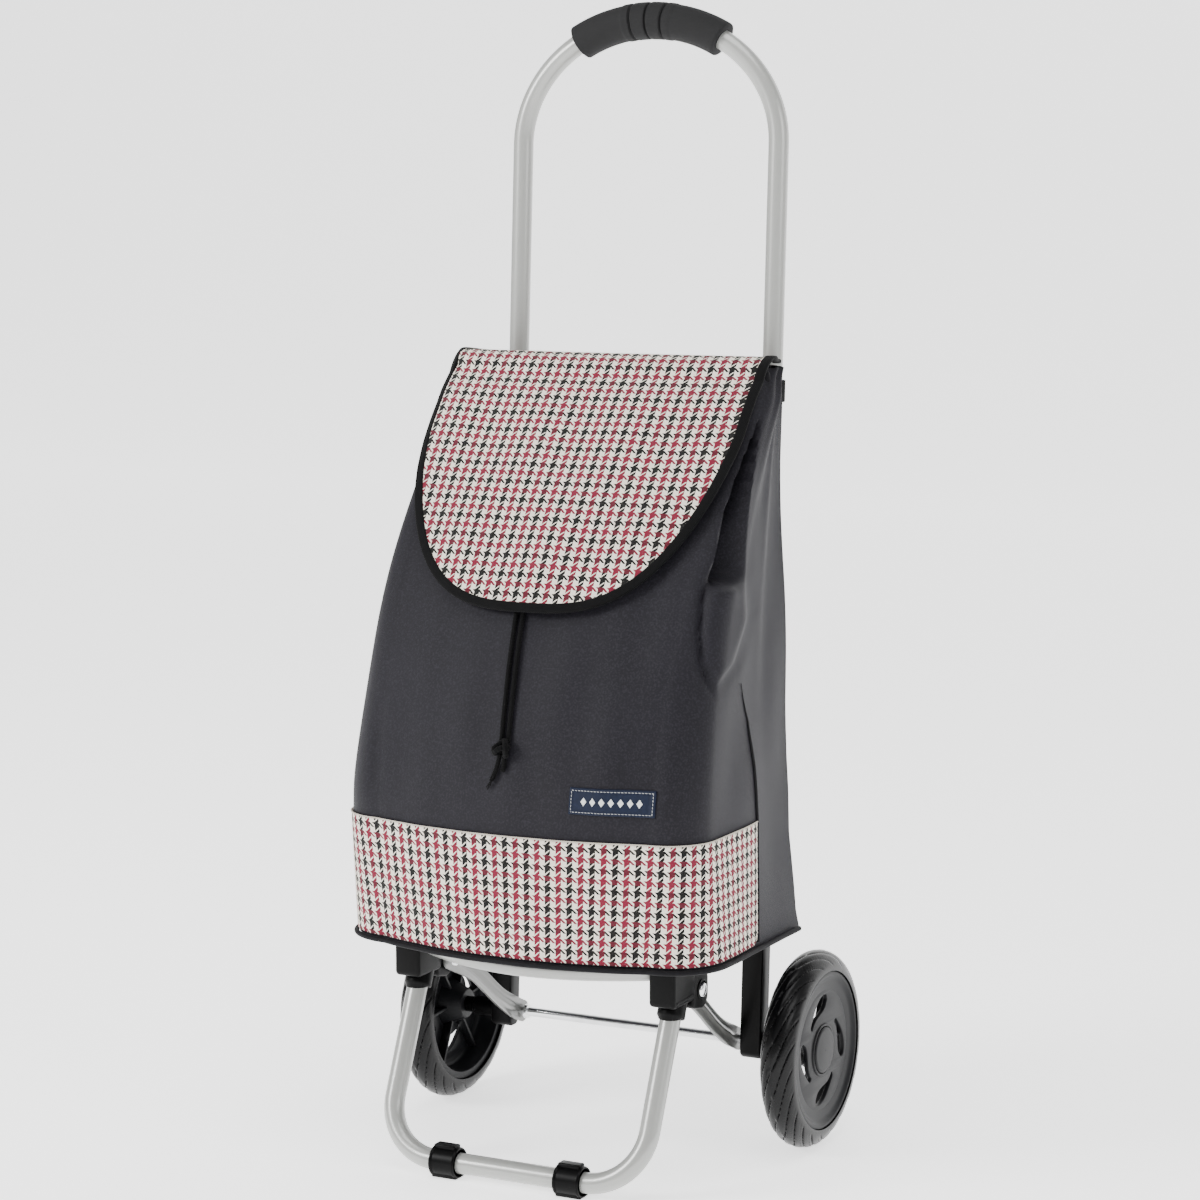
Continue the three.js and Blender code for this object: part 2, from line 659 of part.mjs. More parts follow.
// ---- flap ---------------------------------------------------------------------------
/** Half-width of the flap where its edge is at height z on the bag front. */
function flapHalf(z) {
  const low = Math.max((600 - z) / (600 - FLAP_END_Z), 0);
  return FLAP_HALF - 4 * low - 108 * low ** 3.6;
}

const flapTop = [[0, 653.5], [0.4, 657], [0.75, 658], [1, 655.5]];
function flapRow(k, bottom, trim) {
  const fall = [640, 614, 588, 562, 536, 512, 492, 475, bottom];
  const onTop = k < flapTop.length;
  const z = onTop ? flapTop[k][1] : fall[k - flapTop.length];
  const half = (onTop ? FLAP_HALF : flapHalf(Math.max(z, FLAP_END_Z))) - trim;
  return levels(-1, 1, 12).map((u) => {
    const x = u * half;
    const brow = frontY(x, BAG_TOP_Z, 4);
    const y = onTop ? HINGE_Y + (brow - HINGE_Y) * flapTop[k][0] : frontY(x, z, FLAP_LIFT);
    return V(x, y, z);
  });
}
const flapRows = flapTop.length + 9;
const flapGrid = Array.from(
  { length: flapRows },
  (_, k) => flapRow(k, FLAP_END_Z + BINDING_W + 2 * GAP, BINDING_W + 2 * GAP),
);
add('flap_panel', thicken(flapGrid, 2.4), CHECK_CLOTH);

function bindingGrid() {
  const left = [];
  const right = [];
  for (let k = 0; k < flapRows; k += 1) {
    const outer = flapRow(k, FLAP_END_Z, 0);
    const inner = flapRow(k, FLAP_END_Z + BINDING_W, BINDING_W);
    const last = outer.length - 1;
    left.push([outer[0], inner[0]]);
    right.unshift([outer[last], inner[last]]);
  }
  const outer = flapRow(flapRows - 1, FLAP_END_Z, 0);
  const inner = flapRow(flapRows - 1, FLAP_END_Z + BINDING_W, BINDING_W);
  const across = outer.slice(1, -1).map((p, i) => [p, inner[i + 1]]);
  return [...left, ...across, ...right];
}
add('flap_binding', thicken(bindingGrid(), 3.2), TAPE);

// ---- drawstring ---------------------------------------------------------------------
const KNOT_X = 1;
const KNOT_Z = 358;
function strand(offset) {
  return levels(0, 1, 14).map((t) => {
    const z = 638 - (638 - KNOT_Z - 9.5) * t;
    const x = KNOT_X + offset - (1 - t) ** 1.2 * 27;
    return V(x, frontY(x, z, CORD_R + 0.5), z);
  });
}
add('cord_strand_left', tube(strand(-3.1), CORD_R, 10), TAPE);
add('cord_strand_right', tube(strand(3.1), CORD_R, 10), TAPE);

const knot = new THREE.SphereGeometry(1, 12, 8);
knot.scale(8, 6.5, 9);
add('cord_knot', knot.translate(KNOT_X, frontY(KNOT_X, KNOT_Z, 7.2), KNOT_Z), TAPE);

for (const [side, sign] of [['left', -1], ['right', 1]]) {
  const tail = levels(0, 1, 3).map((t) => {
    const z = KNOT_Z - 9.6 - 20 * t;
    const x = KNOT_X + sign * (2.6 + 3 * t);
    return V(x, frontY(x, z, CORD_R + 0.8 + 2 * (1 - t)), z);
  });
  add(`cord_tail_${side}`, tube(tail, CORD_R, 10), TAPE);
}

// ---- centre the trolley over the floor ----------------------------------------------
const bounds = new THREE.Box3().setFromObject(group);
const middle = bounds.getCenter(new THREE.Vector3());
for (const mesh of group.children) {
  mesh.geometry.translate(-middle.x, -middle.y, -bounds.min.z);
}

export default group;
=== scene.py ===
"""A two-wheeled shopping trolley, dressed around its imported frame.

Everything is laid out in metres with the axle at y = 0, the floor at z = 0 and the front
towards -Y; the shift to the frame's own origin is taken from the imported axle.
"""

import logging
import math
from dataclasses import dataclass
from enum import Enum
from typing import Any, Sequence

import bmesh
import bpy
import numpy as np
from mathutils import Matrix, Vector


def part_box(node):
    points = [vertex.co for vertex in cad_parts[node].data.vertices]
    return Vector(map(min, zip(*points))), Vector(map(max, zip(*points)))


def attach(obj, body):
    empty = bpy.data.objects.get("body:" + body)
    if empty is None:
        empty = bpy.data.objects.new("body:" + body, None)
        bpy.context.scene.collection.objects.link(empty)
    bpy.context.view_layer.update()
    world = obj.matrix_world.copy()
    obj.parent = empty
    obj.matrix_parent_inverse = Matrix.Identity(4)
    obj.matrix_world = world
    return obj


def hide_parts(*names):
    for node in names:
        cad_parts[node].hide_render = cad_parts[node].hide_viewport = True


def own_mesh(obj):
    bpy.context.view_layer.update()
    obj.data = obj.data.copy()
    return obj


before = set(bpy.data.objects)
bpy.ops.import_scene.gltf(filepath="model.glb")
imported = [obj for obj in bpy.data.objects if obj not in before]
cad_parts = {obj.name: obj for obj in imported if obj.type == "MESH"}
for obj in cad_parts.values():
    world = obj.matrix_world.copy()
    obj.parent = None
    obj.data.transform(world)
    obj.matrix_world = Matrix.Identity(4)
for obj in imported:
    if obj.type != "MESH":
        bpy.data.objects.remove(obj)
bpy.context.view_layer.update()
LOG = logging.getLogger("trolley")

Array = np.ndarray
AXLE_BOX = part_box("axle")
AXLE_Y = (AXLE_BOX[0].y + AXLE_BOX[1].y) / 2
AXLE_Z = (AXLE_BOX[0].z + AXLE_BOX[1].z) / 2
ORIGIN = np.array([0.0, AXLE_Y, 0.0])
LEAN = 0.0515
LEAN_AXIS = np.array([0.0, 1.0, -LEAN])


class Side(Enum):
    """The two sides of the trolley, with the sign of X on each."""

    LEFT = -1
    RIGHT = 1

    @property
    def suffix(self) -> str:
        """The side's name as it ends a piece's name."""
        return self.name.lower()


def lean_y(z: Array | float) -> Array | float:
    """Y of the leaning handle tubes at height z: a straight line through the axle's height."""
    return LEAN * (z - AXLE_Z) - 0.0025


def smoothstep(low: float, high: float, value: Array) -> Array:
    """0 below low, 1 above high and a cubic ease between them; low may be above high."""
    t = np.clip((value - low) / (high - low), 0.0, 1.0)
    return t * t * (3 - 2 * t)


# ---- shader graphs ------------------------------------------------------------------------
class Value:
    """A socket of a shader graph; the arithmetic operators add Math nodes."""

    def __init__(self, graph: "Graph", socket: bpy.types.NodeSocket) -> None:
        """Keeps the graph and the output socket."""
        self.graph = graph
        self.socket = socket

    def _op(self, operation: str, first: Any, second: Any) -> "Value":
        """One Math node of that operation."""
        return self.graph.node("ShaderNodeMath", {"operation": operation}, {0: first, 1: second})

    def __add__(self, other: Any) -> "Value":
        """self + other."""
        return self._op("ADD", self, other)

    def __radd__(self, other: Any) -> "Value":
        """other + self."""
        return self._op("ADD", other, self)

    def __sub__(self, other: Any) -> "Value":
        """self - other."""
        return self._op("SUBTRACT", self, other)

    def __rsub__(self, other: Any) -> "Value":
        """other - self."""
        return self._op("SUBTRACT", other, self)

    def __mul__(self, other: Any) -> "Value":
        """self * other."""
        return self._op("MULTIPLY", self, other)

    def __rmul__(self, other: Any) -> "Value":
        """other * self."""
        return self._op("MULTIPLY", other, self)

    def __truediv__(self, other: Any) -> "Value":
        """self / other."""
        return self._op("DIVIDE", self, other)

    def __mod__(self, other: Any) -> "Value":
        """The remainder of self / other, never negative."""
        return self._op("FLOORED_MODULO", self, other)

    def __pow__(self, other: Any) -> "Value":
        """self to the power other."""
        return self._op("POWER", self, other)

    def __lt__(self, other: Any) -> "Value":
        """1 where self is below other, else 0."""
        return self._op("LESS_THAN", self, other)

    def __gt__(self, other: Any) -> "Value":
        """1 where self is above other, else 0."""
        return self._op("GREATER_THAN", self, other)

    def floor(self) -> "Value":
        """The whole part."""
        return self._op("FLOOR", self, 0.0)

    def abs(self) -> "Value":
        """The size without its sign."""
        return self._op("ABSOLUTE", self, 0.0)

    def sin(self) -> "Value":
        """The sine of an angle in radians."""
        return self._op("SINE", self, 0.0)

    def clamp(self) -> "Value":
        """Kept from 0 to 1."""
        return self.graph.node("ShaderNodeClamp", {}, {0: self})

    def ease(self, low: float, high: float) -> "Value":
        """0 below low, 1 above high, smooth between."""
        settings = {"interpolation_type": "SMOOTHSTEP"}
        return self.graph.node("ShaderNodeMapRange", settings, {0: self, 1: low, 2: high, 3: 0.0, 4: 1.0})


class Graph:
    """A material's node graph around one Principled shader."""

    def __init__(self, name: str) -> None:
        """Makes an empty material of that name with its shader and output.

        Args:
            name: the material's name.
        """
        self.material = bpy.data.materials.new(name)
        self.material.use_nodes = True
        self.tree = self.material.node_tree
        self.tree.nodes.clear()
        self.shader = self.tree.nodes.new("ShaderNodeBsdfPrincipled")
        output = self.tree.nodes.new("ShaderNodeOutputMaterial")
        self.tree.links.new(self.shader.outputs[0], output.inputs[0])

    def _feed(self, socket: bpy.types.NodeSocket, value: Any) -> None:
        """Links a Value to a socket, or sets the socket's own value."""
        if isinstance(value, Value):
            self.tree.links.new(value.socket, socket)
        elif hasattr(socket.default_value, "__len__") and hasattr(value, "__len__"):
            size = len(socket.default_value)
            socket.default_value = (*value, 1.0)[:size]
        else:
            socket.default_value = value

    def node(self, kind: str, settings: dict, inputs: dict, output: int | str = 0) -> Value:
        """Adds any node.

        Args:
            kind: the node's type name.
            settings: the node's own properties, set first.
            inputs: values or links by socket name or number.
            output: which output to return.

        Returns:
            The chosen output.
        """
        made = self.tree.nodes.new(kind)
        for key, value in settings.items():
            setattr(made, key, value)
        for key, value in inputs.items():
            self._feed(made.inputs[key], value)
        return Value(self, made.outputs[output])

    def set(self, **sockets: Any) -> "Graph":
        """Sets the shader's sockets, with underscores for the spaces in their names."""
        for key, value in sockets.items():
            self._feed(self.shader.inputs[key.replace("_", " ")], value)
        return self

    def place(self) -> Value:
        """The piece's own coordinates in metres."""
        return self.node("ShaderNodeTexCoord", {}, {}, "Object")

    def uv(self) -> Value:
        """The piece's UV map, in metres of cloth."""
        return self.node("ShaderNodeTexCoord", {}, {}, "UV")

    def parts(self, vector: Value) -> tuple[Value, Value, Value]:
        """The X, Y and Z of a vector."""
        made = self.tree.nodes.new("ShaderNodeSeparateXYZ")
        self._feed(made.inputs[0], vector)
        return tuple(Value(self, made.outputs[k]) for k in range(3))

    def noise(self, scale: float, detail: float = 3.0, where: Value | None = None) -> Value:
        """Soft noise, about 0.5, at that many grains to the metre."""
        vector = where or self.place()
        inputs = {"Vector": vector, "Scale": scale, "Detail": detail}
        return self.node("ShaderNodeTexNoise", {}, inputs, 0)

    def blend(self, share: Any, first: Any, second: Any) -> Value:
        """A colour between two, by share.

        Args:
            share: 0 for the first colour, 1 for the second.
            first: a colour or a Value.
            second: a colour or a Value.

        Returns:
            The mixed colour.
        """
        made = self.tree.nodes.new("ShaderNodeMix")
        made.data_type = "RGBA"
        self._feed(made.inputs[0], share)
        self._feed(made.inputs[6], first)
        self._feed(made.inputs[7], second)
        return Value(self, made.outputs[2])

    def bump(self, height: Value, distance: float, strength: float = 1.0) -> Value:
        """A normal from a height in units of distance metres."""
        inputs = {"Height": height, "Distance": distance, "Strength": strength}
        return self.node("ShaderNodeBump", {}, inputs)


def shade(colour: Sequence[float], factor: float) -> tuple[float, ...]:
    """A colour made lighter or darker."""
    return tuple(min(1.0, c * factor) for c in colour)


@dataclass(frozen=True)
class Moulded:
    """Moulded plastic, rubber or foam: one colour with a fine grain and faint handling marks."""

    name: str
    colour: tuple[float, float, float]
    roughness: float
    grain: float
    depth: float
    specular: float = 0.5

    def material(self) -> bpy.types.Material:
        """Builds the finish: mottled colour, uneven gloss and grain relief."""
        graph = Graph(self.name)
        cloud = graph.noise(22.0, 4.0)
        grain = graph.noise(self.grain, 2.0)
        colour = graph.blend(cloud.ease(0.3, 0.7), shade(self.colour, 0.82), shade(self.colour, 1.2))
        graph.set(
            Base_Color=colour,
            Roughness=(self.roughness - 0.06) + 0.12 * cloud,
            Specular_IOR_Level=self.specular,
            Normal=graph.bump(grain, self.depth, 0.8),
        )
        return graph.material


@dataclass(frozen=True)
class TubePaint:
    """Silver-grey lacquer on steel tube: fine flake, a clear coat and a slight orange peel."""

    name: str
    colour: tuple[float, float, float]

    def material(self) -> bpy.types.Material:
        """Builds the lacquer."""
        graph = Graph(self.name)
        flake = graph.noise(2600.0, 1.0)
        drift = graph.noise(9.0, 3.0)
        colour = graph.blend(flake.ease(0.35, 0.7), shade(self.colour, 0.93), shade(self.colour, 1.06))
        graph.set(
            Base_Color=graph.blend(drift.ease(0.35, 0.75), colour, shade(self.colour, 0.96)),
            Metallic=0.25,
            Roughness=0.27 + 0.08 * drift,
            Coat_Weight=0.5,
            Coat_Roughness=0.12,
            Normal=graph.bump(graph.noise(260.0, 2.0), 0.00008, 0.5),
        )
        return graph.material


@dataclass(frozen=True)
class Plated:
    """Bright plated steel with faint draw lines."""

    name: str
    colour: tuple[float, float, float]

    def material(self) -> bpy.types.Material:
        """Builds the plating: mirror metal with uneven polish."""
        graph = Graph(self.name)
        cloud = graph.noise(60.0, 4.0)
        graph.set(
            Base_Color=graph.blend(cloud.ease(0.45, 0.8), self.colour, shade(self.colour, 0.8)),
            Metallic=1.0,
            Roughness=0.12 + 0.14 * cloud,
            Normal=graph.bump(graph.noise(700.0, 1.0), 0.00003, 0.5),
        )
        return graph.material


@dataclass(frozen=True)
class WovenCloth:
    """Plain-woven coated cloth: crossed threads, a soft sheen and slow shifts of tone."""

    name: str
    colour: tuple[float, float, float]
    thread: float
    sheen: float
    roughness: float

    def material(self) -> bpy.types.Material:
        """Builds the weave: warp and weft as sine ridges that take turns on top."""
        graph = Graph(self.name)
        u, v, _ = graph.parts(graph.uv())
        turn = 2 * math.pi / self.thread
        warp = (u * turn).sin()
        weft = (v * turn).sin()
        weave = warp * weft * 0.5 + 0.5
        cloud = graph.noise(14.0, 4.0)
        slub = graph.noise(640.0, 2.0)
        tone = graph.blend(cloud.ease(0.3, 0.75), shade(self.colour, 0.9), shade(self.colour, 1.1))
        tone = graph.blend(weave * 0.35, tone, shade(self.colour, 0.62))
        graph.set(
            Base_Color=graph.blend((slub.ease(0.42, 0.72)) * 0.6, tone, shade(self.colour, 1.9)),
            Roughness=(self.roughness - 0.05) + 0.1 * cloud,
            Specular_IOR_Level=0.13,
            Sheen_Weight=self.sheen,
            Sheen_Roughness=0.45,
            Normal=graph.bump(weave + slub * 0.6, 0.00016, 0.7),
        )
        return graph.material


@dataclass(frozen=True)
class CheckCloth:
    """Houndstooth check, woven as a two-and-two twill of four-thread stripes."""

    name: str
    pale: tuple[float, float, float]
    dark: tuple[float, float, float]
    rose: tuple[float, float, float]
    warp: float
    weft: float

    def _stripe(self, graph: Graph, thread: Value) -> Value:
        """The colour of a numbered thread: four pale, four dark, four pale, four rose."""
        group = (thread / 4.0).floor() % 4.0
        coloured = group % 2.0
        strong = graph.blend(group > 2.5, self.dark, self.rose)
        return graph.blend(coloured > 0.5, self.pale, strong)

    def material(self) -> bpy.types.Material:
        """Builds the check.

        Slanting floats of warp and weft share each crossing. Where a pale warp crosses a dark weft
        the twill is turned over, so the floats lean the other way.
        """
        graph = Graph(self.name)
        u, v, _ = graph.parts(graph.uv())
        across, down = u / self.warp, v / self.weft
        i, j = across.floor(), down.floor()
        dark_warp, dark_weft = (i / 4.0).floor() % 2.0, (j / 4.0).floor() % 2.0
        turned = (1 - dark_warp) * dark_weft
        leaning = ((across + down) % 4.0) < 2.9
        crossed = ((across - down) % 4.0) < 2.0
        warp_up = leaning * (1 - turned) + crossed * turned
        show = warp_up + (0.5 - warp_up) * (dark_warp * dark_weft)
        ridge_warp = 1 - ((across - i) * 2 - 1).abs() ** 2.2
        ridge_weft = 1 - ((down - j) * 2 - 1).abs() ** 2.2
        ridge = ridge_warp * warp_up + ridge_weft * (1 - warp_up)
        colour = graph.blend(show, self._stripe(graph, j), self._stripe(graph, i))
        fuzz = graph.noise(1500.0, 2.0)
        # Painted shade: the colour darkens towards each thread's edges, where the thread dips between its
        # neighbours.
        crevice_shaded = graph.blend((1 - ridge) * 0.3, colour, (0.05, 0.03, 0.03))
        graph.set(
            Base_Color=graph.blend(fuzz.ease(0.5, 0.85) * 0.07, crevice_shaded, self.pale),
            Roughness=0.86,
            Specular_IOR_Level=0.15,
            Sheen_Weight=0.05,
            Sheen_Roughness=0.5,
            Normal=graph.bump(ridge + fuzz * 0.3, 0.0003, 0.8),
        )
        return graph.material


@dataclass(frozen=True)
class TwillTape:
    """Black twill tape and braid: slanting ribs a fraction of a millimetre wide."""

    name: str
    colour: tuple[float, float, float]
    rib: float

    def material(self) -> bpy.types.Material:
        """Builds the tape: ribs slant across all three axes, so they follow the tape anywhere."""
        graph = Graph(self.name)
        x, y, z = graph.parts(graph.place())
        turn = 2 * math.pi / self.rib
        ribs = ((x * 0.75 + y * 0.5 + z) * turn).sin() * 0.5 + 0.5
        lint = graph.noise(1300.0, 2.0)
        # Painted shade and highlight: the rib grooves are painted darker and the rib crests lighter.
        tone = graph.blend(ribs, shade(self.colour, 0.55), shade(self.colour, 1.35))
        graph.set(
            Base_Color=graph.blend(lint.ease(0.5, 0.85) * 0.12, tone, shade(self.colour, 3.0)),
            Roughness=0.8,
            Specular_IOR_Level=0.12,
            Sheen_Weight=0.03,
            Sheen_Roughness=0.4,
            Normal=graph.bump(ribs + lint * 0.5, 0.0004, 0.9),
        )
        return graph.material


@dataclass(frozen=True)
class PatchRubber:
    """Soft navy rubber label with a pale stitched border and a row of small pale lozenges."""

    name: str
    base: tuple[float, float, float]
    pale: tuple[float, float, float]
    half_width: float
    half_height: float

    def material(self) -> bpy.types.Material:
        """Builds the label from its own map, whose origin is the label's centre."""
        graph = Graph(self.name)
        u, v, _ = graph.parts(graph.uv())
        inset = 0.0021
        off_x = (u.abs() - (self.half_width - inset)).abs()
        off_y = (v.abs() - (self.half_height - inset)).abs()
        on_x = (off_x < 0.00028) * (v.abs() < self.half_height - inset)
        on_y = (off_y < 0.00028) * (u.abs() < self.half_width - inset)
        dashes = (((u + v) / 0.0026) % 1.0) < 0.62
        stitch = (on_x + on_y).clamp() * dashes
        step = 0.0072
        local = (u + step * 0.5) % step - step * 0.5
        lozenge = ((local.abs() / 0.0024 + v.abs() / 0.0034) < 1.0) * (u.abs() < 3.5 * step)
        cloud = graph.noise(300.0, 3.0)
        base = graph.blend(cloud.ease(0.3, 0.7), shade(self.base, 0.85), shade(self.base, 1.15))
        marked = graph.blend(stitch * 0.55, base, self.pale)
        graph.set(
            Base_Color=graph.blend(lozenge, marked, self.pale),
            Roughness=0.5 + 0.12 * cloud,
            Specular_IOR_Level=0.2,
            Normal=graph.bump(cloud * 0.3 + lozenge + stitch, 0.00025, 0.6),
        )
        return graph.material


class Finishes:
    """Every finish of the trolley, made once."""

    def __init__(self) -> None:
        """Makes the materials."""
        self.paint = TubePaint("grey_lacquer", (0.36, 0.364, 0.348)).material()
        self.foam = Moulded("grip_foam", (0.0075, 0.0075, 0.0080), 0.8, 900.0, 0.00022, 0.3).material()
        self.plastic = Moulded(
            "black_moulding", (0.0012, 0.0012, 0.0013), 0.38, 1500.0, 0.00003, 0.10
        ).material()
        self.hub = Moulded("hub_moulding", (0.0068, 0.0070, 0.0080), 0.42, 1700.0, 0.00004, 0.14).material()
        self.rubber = Moulded("tyre_rubber", (0.0018, 0.0018, 0.0021), 0.27, 1100.0, 0.00004, 0.20).material()
        self.chrome = Plated("bright_plating", (0.86, 0.87, 0.88)).material()
        self.pressed = TubePaint("link_lacquer", (0.155, 0.157, 0.150)).material()
        self.cloth = WovenCloth("charcoal_weave", (0.0115, 0.0108, 0.0142), 0.0011, 0.02, 0.55).material()
        self.seam = WovenCloth("seam_weave", (0.004, 0.0038, 0.005), 0.0011, 0.02, 0.65).material()
        self.check = CheckCloth(
            "houndstooth", (0.93, 0.87, 0.76), (0.002, 0.004, 0.004), (0.20, 0.010, 0.032), 0.00113, 0.00104
        ).material()
        self.tape = TwillTape("black_tape", (0.0020, 0.0020, 0.0023), 0.0013).material()
        self.braid = TwillTape("black_braid", (0.0016, 0.0016, 0.0018), 0.0009).material()
        self.stitch = TwillTape("pale_thread", (0.62, 0.57, 0.49), 0.0012).material()
        self.patch = PatchRubber(
            "label_rubber", (0.006, 0.010, 0.026), (0.70, 0.71, 0.70), 0.034, 0.0105
        ).material()


# ---- surfaces -----------------------------------------------------------------------------
def grid_faces(rows: int, cols: int, wrap_rows: bool = False, wrap_cols: bool = False) -> Array:
    """Quads of a grid of points, by index.

    Args:
        rows: how many rows of points.
        cols: how many points in a row.
        wrap_rows: whether the last row joins the first.
        wrap_cols: whether each row is a loop.

    Returns:
        One row of four indices for each quad.
    """
    i, j = np.meshgrid(
        np.arange(rows if wrap_rows else rows - 1),
        np.arange(cols if wrap_cols else cols - 1),
        indexing="ij",
    )
    below, right = (i + 1) % rows, (j + 1) % cols
    corners = [i * cols + j, i * cols + right, below * cols + right, below * cols + j]
    return np.stack(corners, -1).reshape(-1, 4)


def swept(path: Array, radius: Array | float, hint: Sequence[float], sides: int = 28) -> Array:
    """Rings about a path: centre + radius (cos a side + sin a up), square to the path.

    Args:
        path: the centreline's points.
        radius: one radius, or one for each point.
        hint: a direction off the path that fixes where each ring starts.
        sides: points in a ring.

    Returns:
        The rings, as an array of (point, side, 3).
    """
    side, up = path_frame(path, hint)
    angle = np.linspace(0, 2 * np.pi, sides, endpoint=False)[None, :, None]
    size = np.broadcast_to(np.asarray(radius, float), len(path))[:, None, None]
    return path[:, None] + size * (np.cos(angle) * side[:, None] + np.sin(angle) * up[:, None])


def path_frame(path: Array, hint: Sequence[float]) -> tuple[Array, Array]:
    """Two unit directions square to a path at each of its points."""
    step = np.gradient(path, axis=0)
    tangent = step / np.linalg.norm(step, axis=1, keepdims=True)
    side = np.cross(tangent, np.asarray(hint, float))
    side /= np.linalg.norm(side, axis=1, keepdims=True)
    return side, np.cross(side, tangent)


def along(points: Array, count: int) -> Array:
    """A path resampled to evenly spaced points."""
    step = np.linalg.norm(np.diff(points, axis=0), axis=1)
    length = np.concatenate([[0.0], np.cumsum(step)])
    at = np.linspace(0, length[-1], count)
    return np.stack([np.interp(at, length, points[:, k]) for k in range(3)], -1)


def path_length(points: Array) -> float:
    """The length of a path."""
    return float(np.linalg.norm(np.diff(points, axis=0), axis=1).sum())


def catmull(rows: Array, per_span: int) -> Array:
    """Smooth rows through given rows of points, by Catmull-Rom splines down each column.

    Args:
        rows: the rows to pass through.
        per_span: new rows for each gap between two of them.

    Returns:
        The finer rows, the given ones among them.
    """
    before = np.concatenate([2 * rows[:1] - rows[1:2], rows[:-1]])
    after = np.concatenate([rows[1:], 2 * rows[-1:] - rows[-2:-1]])
    slope = (after - before) / 2
    t = np.linspace(0, 1, per_span, endpoint=False).reshape(1, -1, *[1] * (rows.ndim - 1))
    a, b = rows[:-1, None], rows[1:, None]
    da, db = slope[:-1, None], slope[1:, None]
    fine = (2 * t**3 - 3 * t**2 + 1) * a + (t**3 - 2 * t**2 + t) * da
    fine = fine + (3 * t**2 - 2 * t**3) * b + (t**3 - t**2) * db
    return np.concatenate([fine.reshape(-1, *rows.shape[1:]), rows[-1:]])


def rounded(corners: Sequence[Sequence[float]], radius: float | Sequence[float], steps: int = 5) -> Array:
    """A closed outline whose corners become short curves, tangent to both sides.

    Args:
        corners: the outline's corners, in order.
        radius: how far back from each corner its curve begins.
        steps: points in each curve, less one.

    Returns:
        The outline's points.
    """
    points = np.asarray(corners, float)
    back, ahead = np.roll(points, 1, 0) - points, np.roll(points, -1, 0) - points
    long_back = np.linalg.norm(back, axis=1, keepdims=True)
    long_ahead = np.linalg.norm(ahead, axis=1, keepdims=True)
    cut = np.broadcast_to(np.asarray(radius, float), len(points))[:, None]
    cut = np.minimum(cut, 0.46 * np.minimum(long_back, long_ahead))
    start, end = points + back / long_back * cut, points + ahead / long_ahead * cut
    t = np.linspace(0, 1, steps + 1)[None, :, None]
    curve = (1 - t) ** 2 * start[:, None] + 2 * t * (1 - t) * points[:, None] + t**2 * end[:, None]
    return curve.reshape(-1, points.shape[1])


def prism_loops(outline: Array, x0: float, x1: float, edge: float) -> Array:
    """Loops of a (y, z) outline carried from x0 to x1, drawn in at both ends by a quarter round.

    Args:
        outline: the closed outline.
        x0: where the prism starts.
        x1: where it ends.
        edge: the radius of its rounded edges.

    Returns:
        The loops, as an array of (loop, point, 3).
    """
    tangent = np.roll(outline, -1, 0) - np.roll(outline, 1, 0)
    tangent /= np.linalg.norm(tangent, axis=1, keepdims=True)
    normal = np.stack([tangent[:, 1], -tangent[:, 0]], -1)
    area = np.sum(outline[:, 0] * np.roll(outline[:, 1], -1) - outline[:, 1] * np.roll(outline[:, 0], -1))
    normal *= np.sign(area)
    turn = np.linspace(0, np.pi / 2, 4)
    inset = edge * np.concatenate([1 - np.sin(turn), (1 - np.sin(turn))[::-1]])
    x = np.concatenate([x0 + edge * (1 - np.cos(turn)), (x1 - edge * (1 - np.cos(turn)))[::-1]])
    flat = outline[None] - inset[:, None, None] * normal[None]
    return np.concatenate([np.broadcast_to(x[:, None, None], (*flat.shape[:2], 1)), flat], -1)


def turned_loops(profile: Sequence[Sequence[float]], sides: int = 64) -> Array:
    """A (radius, x) profile turned about the axle: one loop of the profile for each angle."""
    points = np.asarray(profile, float)
    angle = np.linspace(0, 2 * np.pi, sides, endpoint=False)[:, None]
    radius, x = points[None, :, 0], points[None, :, 1]
    spun = [np.broadcast_to(x, (sides, len(points))), radius * np.cos(angle), radius * np.sin(angle) + AXLE_Z]
    return np.stack(spun, -1)


def superellipse(angle: Array, power: float) -> tuple[Array, Array]:
    """Cosine and sine of an angle, squared up or drawn in by a power."""
    cos, sin = np.cos(angle), np.sin(angle)
    share = 2.0 / power
    return np.sign(cos) * np.abs(cos) ** share, np.sign(sin) * np.abs(sin) ** share


